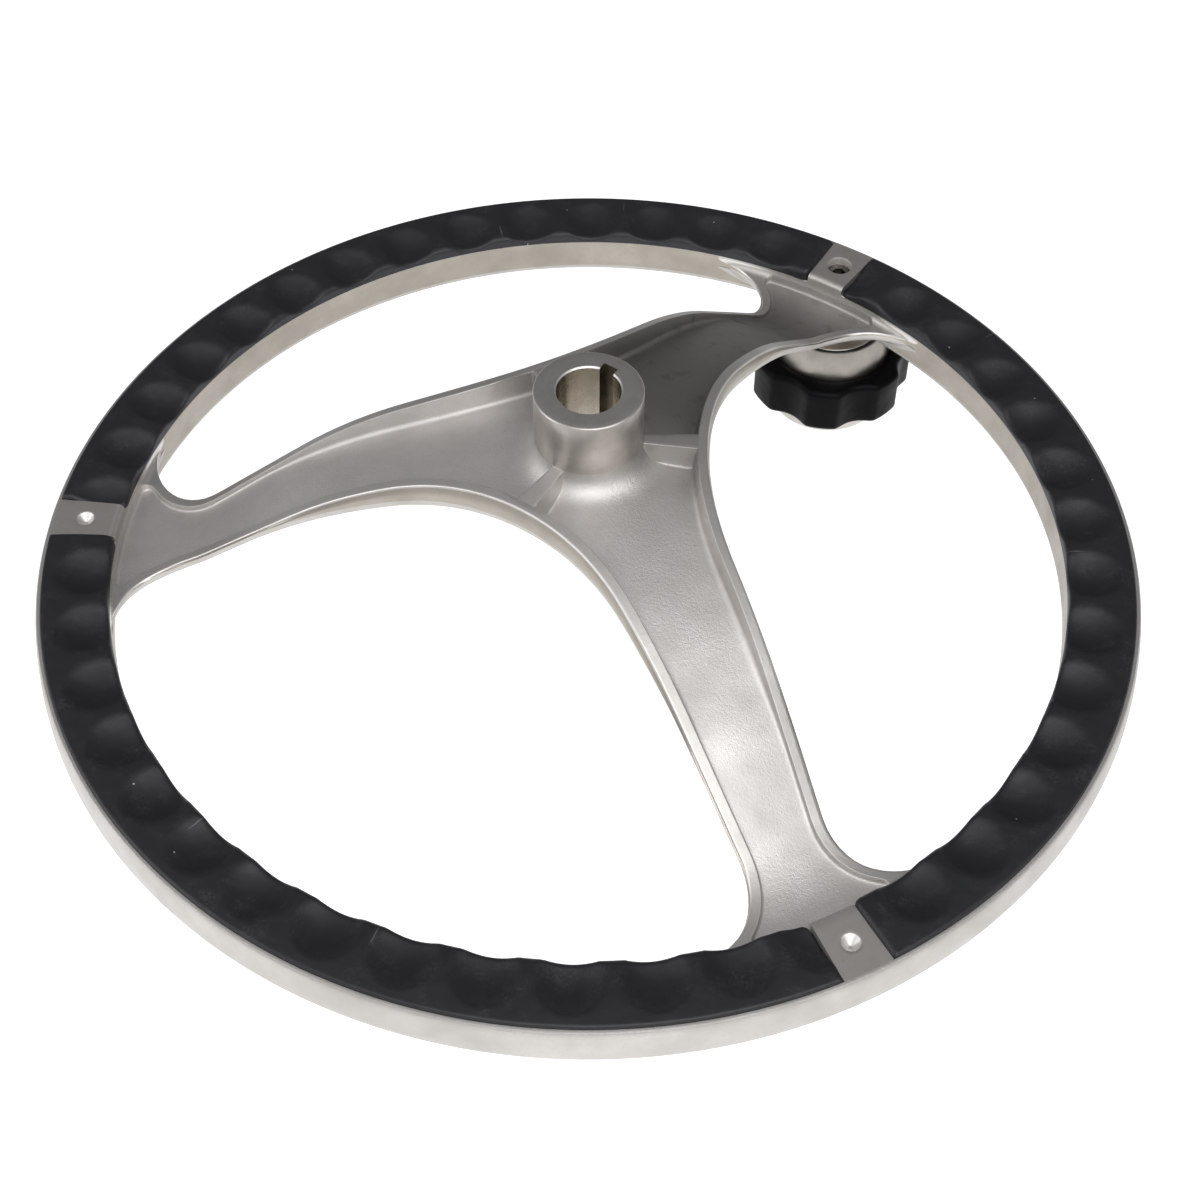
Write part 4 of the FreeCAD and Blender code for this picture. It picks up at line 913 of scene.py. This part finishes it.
# %% The height of a grip
GRIP_IN, GRIP_OUT, GRIP_TOP = 148.6, 169.0, -64.8
GRIP_TURN = math.radians(57.36)
SCOOPS, SCOOP_PITCH, SCOOP_FIRST = 14, 8.35, -51.4
SCOOP_DEEP, SCOOP_HALF, SCOOP_MIDDLE, SCOOP_REACH = 3.3, 9.6, 155.2, 10.4
CROWN, BOWL_POWER = 0.45, 1.05
END_ROUND, INNER_EDGE, OUTER_EDGE = 1.4, 1.8, 0.8
CORNER_ROUND, CORNER_SPREAD = 2.4, 7


def grip_height(r, turn):
    degrees = np.degrees(turn)
    nearest = np.clip(np.round((degrees - SCOOP_FIRST) / SCOOP_PITCH), 0, SCOOPS - 1)
    aside = np.radians(degrees - SCOOP_FIRST - nearest * SCOOP_PITCH) * r
    bowl = np.maximum(1 - (aside / SCOOP_HALF) ** 2 - ((r - SCOOP_MIDDLE) / SCOOP_REACH) ** 2, 0)
    from_middle = (r - (GRIP_IN + GRIP_OUT) / 2) / ((GRIP_OUT - GRIP_IN) / 2)
    return (GRIP_TOP - CROWN * from_middle ** 2 - SCOOP_DEEP * bowl ** BOWL_POWER
            - quarter((GRIP_TURN - np.abs(turn)) * r, END_ROUND))


hollow_floor = float(grip_height(SCOOP_MIDDLE, np.radians(SCOOP_FIRST)))
print("a hollow is", round(GRIP_TOP - hollow_floor, 2), "mm deep")

# %% Lay out one grip
GRIP_STEP, GRIP_SHELF, GRIP_FLOOR = 151.5, -69.35, -76.55
# The radius at which lengths along a grip are measured
LENGTH_RADIUS = 160
END_SPAN, EVEN_COLUMNS = 0.019, 260
inner_steps = np.array([0, 0.01, 0.06, 0.16, 0.32, 0.55, 0.9, 1.4, 2.0, 2.7])
outer_steps = np.array([1.8, 1.4, 1.0, 0.65, 0.35, 0.15, 0.04, 0])
grip_radii = np.concatenate([GRIP_IN + inner_steps, np.arange(152.2, 166.6, 0.9), GRIP_OUT - outer_steps])
end_steps = np.array([0, 0.02, 0.07, 0.17, 0.33, 0.55, 0.85, 1.25, 1.75, 2.3]) / LENGTH_RADIUS
even_turns = np.linspace(-GRIP_TURN + END_SPAN, GRIP_TURN - END_SPAN, EVEN_COLUMNS)
grip_turns = np.concatenate([-GRIP_TURN + end_steps, even_turns, GRIP_TURN - end_steps[::-1]])


def grip_sheet():
    """The skin of one grip, without its two ends: one column an angle, from the top round underneath."""
    columns = []
    edges = quarter(grip_radii - GRIP_IN, INNER_EDGE) + quarter(GRIP_OUT - grip_radii, OUTER_EDGE)
    for turn in grip_turns:
        corner = float(quarter(np.array((GRIP_TURN - abs(turn)) * GRIP_IN), CORNER_ROUND))
        radii = grip_radii + corner * (1 - smooth((grip_radii - GRIP_IN) / CORNER_SPREAD))
        top = np.stack([radii, grip_height(radii, turn) - edges], 1)
        under = np.array([(GRIP_OUT, -72.0), (GRIP_OUT, GRIP_FLOOR), (GRIP_STEP, GRIP_FLOOR),
                          (GRIP_STEP, GRIP_SHELF), (GRIP_IN + 0.3 + corner, GRIP_SHELF),
                          (GRIP_IN + corner, GRIP_SHELF + 0.05), top[0]])
        line = np.concatenate([top, under])
        columns.append(np.stack([line[:, 0] * math.cos(turn), line[:, 0] * math.sin(turn), line[:, 1]], -1))
    return np.stack(columns, 1)


grip_line = grip_sheet()
print("points on one grip:", grip_line.shape[0] * grip_line.shape[1])

# %% [markdown]
# ### Black rubber
# The rubber is a black EPDM with a dull skin, so its form shows as soft grey patches where it faces a
# light. Years of hands leave lighter scuffs, short scratches across the strip and a few pale specks.
# Scratches are specks in a space that is squeezed along the radius. The IOR of 1.5 is usual for rubber.

# %% Make the rubber and the three grips
SCRATCH_MM, SPECK_MM, SCUFF_MM, SMEAR_MM = 5.5, 13, 7, 0.8
SCRATCH_SHARE, SPECK_SHARE = 0.35, 0.8
DENT_MM, DENT_HEIGHT_MM = 6, 0.25
SQUEEZE, UNROLLED_RADIUS = 0.07, LENGTH_RADIUS * MM


def black_rubber(name, colour, scuffed, roughness, grain_mm, grain_height_mm, speck_share, sheen=0.5):
    """Black rubber: scuffed patches, scratches and specks, a fine grain and shallow dents."""
    material, tree, shader = new_material(name)
    place = add_node(tree, "ShaderNodeTexCoord").outputs["Object"]
    parts = add_node(tree, "ShaderNodeSeparateXYZ", None, Vector=place)
    turn = add_node(tree, "ShaderNodeMath", {"operation": "ARCTAN2"}, _0=parts.outputs["Y"],
                    _1=parts.outputs["X"])
    level_place = add_node(tree, "ShaderNodeCombineXYZ", None, X=parts.outputs["X"], Y=parts.outputs["Y"])
    away = add_node(tree, "ShaderNodeVectorMath", {"operation": "LENGTH"}, _0=level_place.outputs[0])
    short = add_node(tree, "ShaderNodeMath", TIMES, _0=away.outputs["Value"], _1=SQUEEZE)
    round_rim = add_node(tree, "ShaderNodeMath", TIMES, _0=turn.outputs[0], _1=UNROLLED_RADIUS)
    squeezed = add_node(tree, "ShaderNodeCombineXYZ", None, X=short.outputs[0], Y=round_rim.outputs[0])
    scratch_cells = add_node(tree, "ShaderNodeTexVoronoi", None, Vector=squeezed.outputs[0],
                             Scale=1 / (SCRATCH_MM * MM))
    scratches = add_node(tree, "ShaderNodeMapRange", None, Value=scratch_cells.outputs["Distance"],
                         From_Min=0.05, From_Max=0.02)
    speck_cells = add_node(tree, "ShaderNodeTexVoronoi", None, Vector=place, Scale=1 / (SPECK_MM * MM))
    specks = add_node(tree, "ShaderNodeMapRange", None, Value=speck_cells.outputs["Distance"],
                      From_Min=0.026, From_Max=0.014)
    patches = clouded(tree, place, SCUFF_MM, 0.5, 0.72)
    smears = clouded(tree, place, SMEAR_MM, 0.42, 0.7)
    scuffs = add_node(tree, "ShaderNodeMath", TIMES, _0=patches, _1=smears).outputs[0]
    tone = add_node(tree, "ShaderNodeMix", COLOURS, _0=scuffs, _6=linear(colour), _7=linear(scuffed))
    thin = add_node(tree, "ShaderNodeMath", TIMES, _0=scratches.outputs["Result"],
                    _1=SCRATCH_SHARE * speck_share)
    tone = add_node(tree, "ShaderNodeMix", COLOURS, _0=thin.outputs[0], _6=tone.outputs[2],
                    _7=linear("#77757a"))
    pale = add_node(tree, "ShaderNodeMath", TIMES, _0=specks.outputs["Result"],
                    _1=SPECK_SHARE * speck_share)
    tone = add_node(tree, "ShaderNodeMix", COLOURS, _0=pale.outputs[0], _6=tone.outputs[2],
                    _7=linear("#b9b6ae"))
    tree.links.new(tone.outputs[2], shader.inputs["Base Color"])
    grain = add_node(tree, "ShaderNodeTexNoise", None, Vector=place, Scale=1 / (grain_mm * MM), Detail=2.0)
    dents = add_node(tree, "ShaderNodeTexNoise", None, Vector=place, Scale=1 / (DENT_MM * MM), Detail=1.0)
    fine = add_node(tree, "ShaderNodeBump", None, Strength=1.0, Distance=grain_height_mm * MM,
                    Height=grain.outputs["Fac"])
    bump = add_node(tree, "ShaderNodeBump", None, Strength=1.0, Distance=DENT_HEIGHT_MM * MM,
                    Height=dents.outputs["Fac"], Normal=fine.outputs[0])
    tree.links.new(bump.outputs[0], shader.inputs["Normal"])
    rough = add_node(tree, "ShaderNodeMapRange", None, Value=scuffs, To_Min=roughness,
                     To_Max=roughness + 0.15)
    tree.links.new(rough.outputs["Result"], shader.inputs["Roughness"])
    shader.inputs["IOR"].default_value = 1.5
    shader.inputs["Specular IOR Level"].default_value = sheen
    shader.inputs["Specular Tint"].default_value = linear("#f5f6fb")
    return material


grip_rubber = black_rubber("moulded_epdm_rubber", "#07080a", "#27272a", 0.5, 0.6, 0.03, 1.0, 0.62)
for name, third in (("upper_left_grip", 1), ("lower_grip", 2), ("right_grip", 0)):
    skin = Skin()
    sheet = placed(grip_line, False, third)
    skin.sheet(sheet)
    skin.flat(sheet[:-1, 0])
    skin.flat(sheet[:-1, -1])
    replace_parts(finished_piece("rubber_" + name, skin, [grip_rubber], "wheel", 50), name)

# %% [markdown]
# ## The knob
# The knob is a stainless cup that turns on two small ball bearings about a fixed spindle, with a lobed
# rubber ring pressed over it and a cap below. Cup, spindle, seal and cap are turned parts, so one
# function sweeps a profile about the knob's axis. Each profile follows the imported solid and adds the
# small edge radii that catch the light. The cup's base, the seal and the disc are a little wider than
# their solids, as they are in the photograph.

# %% Sweep a profile about the knob's axis
KNOB_X, KNOB_Y = 79.70, 138.04
KNOB_SIDES, ARC_STEPS = 128, 5


def lathe(name, profile, materials, body, replaced):
    """A turned piece from a profile of (radius, height), closed unless it starts on the axis."""
    turns = np.linspace(0, 2 * math.pi, KNOB_SIDES + 1)
    line = np.array(profile + (profile[:1] if profile[0][0] else []), float)
    sheet = np.stack([KNOB_X + line[:, :1] * np.cos(turns), KNOB_Y + line[:, :1] * np.sin(turns),
                      line[:, 1:] + 0 * turns], -1)
    skin = Skin()
    skin.sheet(sheet)
    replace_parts(finished_piece(name, skin, materials, body), replaced)


def rounded(profile, radii):
    """Replaces corners of a closed profile by arcs. radii maps a corner's number to its radius."""
    points = [Vector(p) for p in profile]
    result = []
    for k, corner in enumerate(points):
        radius = radii.get(k)
        if not radius:
            result.append(tuple(corner))
            continue
        before = (points[k - 1] - corner).normalized()
        after = (points[(k + 1) % len(points)] - corner).normalized()
        half = before.angle(after) / 2
        middle = corner + (before + after).normalized() * radius / math.sin(half)
        first = corner + before * radius / math.tan(half) - middle
        last = corner + after * radius / math.tan(half) - middle
        result += [tuple(middle + radius * first.slerp(last, s / ARC_STEPS)) for s in range(ARC_STEPS + 1)]
    return result


def bulge(start, end, radius, count):
    """Points of an arc between two points that bulges away from the axis."""
    a, b = Vector(start), Vector(end)
    half = (b - a) / 2
    side = Vector((-half.y, half.x)).normalized()
    if side.x > 0:
        side = -side
    middle = a + half + side * math.sqrt(radius ** 2 - half.length_squared)
    return [tuple(middle + radius * (a - middle).slerp(b - middle, s / count)) for s in range(count + 1)]


print("knob's axis is", round(math.hypot(KNOB_X, KNOB_Y), 1), "mm from the shaft")

# %% [markdown]
# ### Cup, spindle, seal and cap
# The cup is satin stainless, domed towards the wheel. The disc of the spindle closes its mouth, and a
# glossy black seal fills the gap between them. The cap is polished more finely than the cup and shows
# the pale floor.

# %% Make the turned pieces of the knob
knob_axis = (KNOB_X * MM, KNOB_Y * MM, 0.0)
cup_steel = turned_steel("satin_turned_304_stainless", "#a49f98", "#99948d", "#847f78", 0.32, 0.008,
                         knob_axis)
disc_steel = turned_steel("faced_304_stainless_disc", "#d3cdc5", "#c5bfb7", "#a39d95", 0.3, 0.01, knob_axis)
cap_steel = turned_steel("polished_304_stainless_cap", "#c9c5be", "#bbb7b0", "#98948d", 0.22, 0.004,
                         knob_axis)

dome = bulge((19.0, -91.5), (21.8, -102.6), 60.0, 14)
cup_profile = [(18.7, -91.3)] + dome + [(21.8, -102.9), (20.4, -103.2), (20.4, -122.9), (11.0, -122.9),
               (11.0, -119.15), (11.8, -119.15), (11.8, -118.2), (11.0, -118.2), (11.0, -111.2),
               (9.5, -111.2), (9.5, -102.7), (11.0, -102.7), (11.0, -95.0), (18.4, -95.0), (18.4, -91.4)]
lathe("knob_cup", cup_profile, [cup_steel], "knob", "knob_body")

spindle_profile = rounded([(0, -82.1), (8.0, -82.1), (8.0, -91.2), (17.1, -91.2), (17.1, -94.2),
                           (5.5, -94.2), (5.5, -95.7), (3.95, -95.7), (3.95, -118.2), (3.0, -118.2),
                           (3.0, -124.2), (0, -124.2)], {2: 1.0, 3: 0.4, 4: 0.3})
lathe("spindle_disc", spindle_profile, [disc_steel], "wheel", "knob_spindle")

seal_profile = rounded([(17.15, -91.2), (18.35, -91.2), (18.35, -92.6), (17.15, -92.6)], {0: 0.4, 1: 0.5})
seal_rubber = black_rubber("glossy_nitrile_rubber", "#0a0b0c", "#1d1d1d", 0.12, 0.8, 0.03, 0.0)
lathe("disc_seal", seal_profile, [seal_rubber], "wheel", "seal_ring")

cap_profile = rounded([(0, -124.9), (9.5, -124.9), (9.5, -122.95), (16.0, -122.95), (16.0, -124.1),
                       (17.2, -124.1), (17.2, -122.95), (20.45, -122.95), (20.45, -120.4), (21.6, -120.4),
                       (21.6, -130.1), (0, -130.1)], {9: 0.35, 10: 5.0})
lathe("polished_cap", cap_profile, [cap_steel], "knob", "end_cap")

# %% [markdown]
# ### The lobed ring
# The ring has seven lobes with hollows between them, moulded in a harder black rubber with a faint
# sheen. Its outline is the smaller of two radii, the outer circle and the arc of a hollow, with the
# corner between them eased. Rows of that outline are then drawn in at the top and bottom edges.

# %% Make the lobed ring
RING_OUT, LOBES, HOLLOW_ROUND, HOLLOW_DEEP = 29.6, 7, 12.0, 2.9
RING_TOP, RING_END, RING_EDGE = -101.6, -120.0, 2.4
RING_BORE, RING_LIP = 20.45, 23.2
LOBE_TURN = math.radians(-18)
LOBE_EASE, LOBE_POINTS = 2.0, 36


def ring_outline(turns):
    pitch = 2 * math.pi / LOBES
    turned = (turns - LOBE_TURN + pitch / 2) % pitch - pitch / 2
    away = RING_OUT - HOLLOW_DEEP + HOLLOW_ROUND
    inside = np.maximum(HOLLOW_ROUND ** 2 - (away * np.sin(turned)) ** 2, 0)
    hollow = away * np.cos(turned) - np.sqrt(inside)
    gap = np.abs(hollow - RING_OUT)
    return np.minimum(hollow, RING_OUT) - np.maximum(LOBE_EASE - gap, 0) ** 2 / (4 * LOBE_EASE)


ring_turns = np.linspace(0, 2 * math.pi, LOBES * LOBE_POINTS + 1)
outline = ring_outline(ring_turns)
ring_rows = [(radius + 0 * outline, height) for radius, height in (
    (RING_BORE, RING_END), (RING_BORE, RING_TOP - 1.8), (21.85, RING_TOP - 1.4), (22.0, RING_TOP - 0.8),
    (22.5, RING_TOP - 0.25), (RING_LIP, RING_TOP))]
edge_turns = np.radians(np.linspace(90, 0, 8))
shoulder = outline - RING_EDGE
ring_rows += [(RING_LIP + (shoulder - RING_LIP) * s, RING_TOP) for s in (0.4, 0.8)]
ring_rows += [(shoulder + RING_EDGE * math.cos(t), RING_TOP - RING_EDGE + RING_EDGE * math.sin(t))
              for t in edge_turns]
ring_rows += [(outline, -107.0), (outline, -111.0), (outline, -115.0)]
ring_rows += [(shoulder + RING_EDGE * math.cos(t), RING_END + RING_EDGE - RING_EDGE * math.sin(t))
              for t in edge_turns[::-1]]
ring_rows += [(RING_BORE + (shoulder - RING_BORE) * s, RING_END) for s in (0.5, 0)]
ring_sheet = np.array([np.stack([KNOB_X + r * np.cos(ring_turns), KNOB_Y + r * np.sin(ring_turns),
                                 z + 0 * r], -1) for r, z in ring_rows])
ring_skin = Skin()
ring_skin.sheet(ring_sheet)
ring_rubber = black_rubber("moulded_hard_nbr_rubber", "#040405", "#090909", 0.38, 0.7, 0.006, 0.0, 0.08)
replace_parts(finished_piece("lobed_ring", ring_skin, [ring_rubber], "knob", 40), "knob_ring")

# %% [markdown]
# ## The pieces that keep their solids
# The screw in the pad and everything inside the knob have the right shape already, so they only get
# their finish: ground steel for the bearings, plain A4 stainless for the fasteners, nitrile for the seal.

# %% Finish the carried-over pieces
fastener_steel = turned_steel("machined_a4_stainless", "#6f6b64", "#5a564f", "#3d3a35", 0.34, 0.01,
                              knob_axis)
bearing_steel = turned_steel("ground_bearing_steel", "#c8c9ca", "#bbbdbe", "#a5a7a8", 0.16, 0.003,
                             knob_axis)
finishes = {"knob_screw": fastener_steel, "lock_washer": fastener_steel, "retaining_washer": fastener_steel,
            "retaining_nut": fastener_steel, "bearing_circlip": fastener_steel,
            "bearing_spacer": fastener_steel, "cap_seal": seal_rubber}
for side in ("upper", "lower"):
    for part in ("inner_race", "outer_race", "cage", "balls"):
        finishes[f"{side}_{part}"] = bearing_steel
for node, finish in finishes.items():
    nodes[node].data.materials.clear()
    nodes[node].data.materials.append(finish)
print("carried-over pieces:", len(finishes))

# %% Set the view transform
bpy.context.scene.view_settings.view_transform = "Standard"
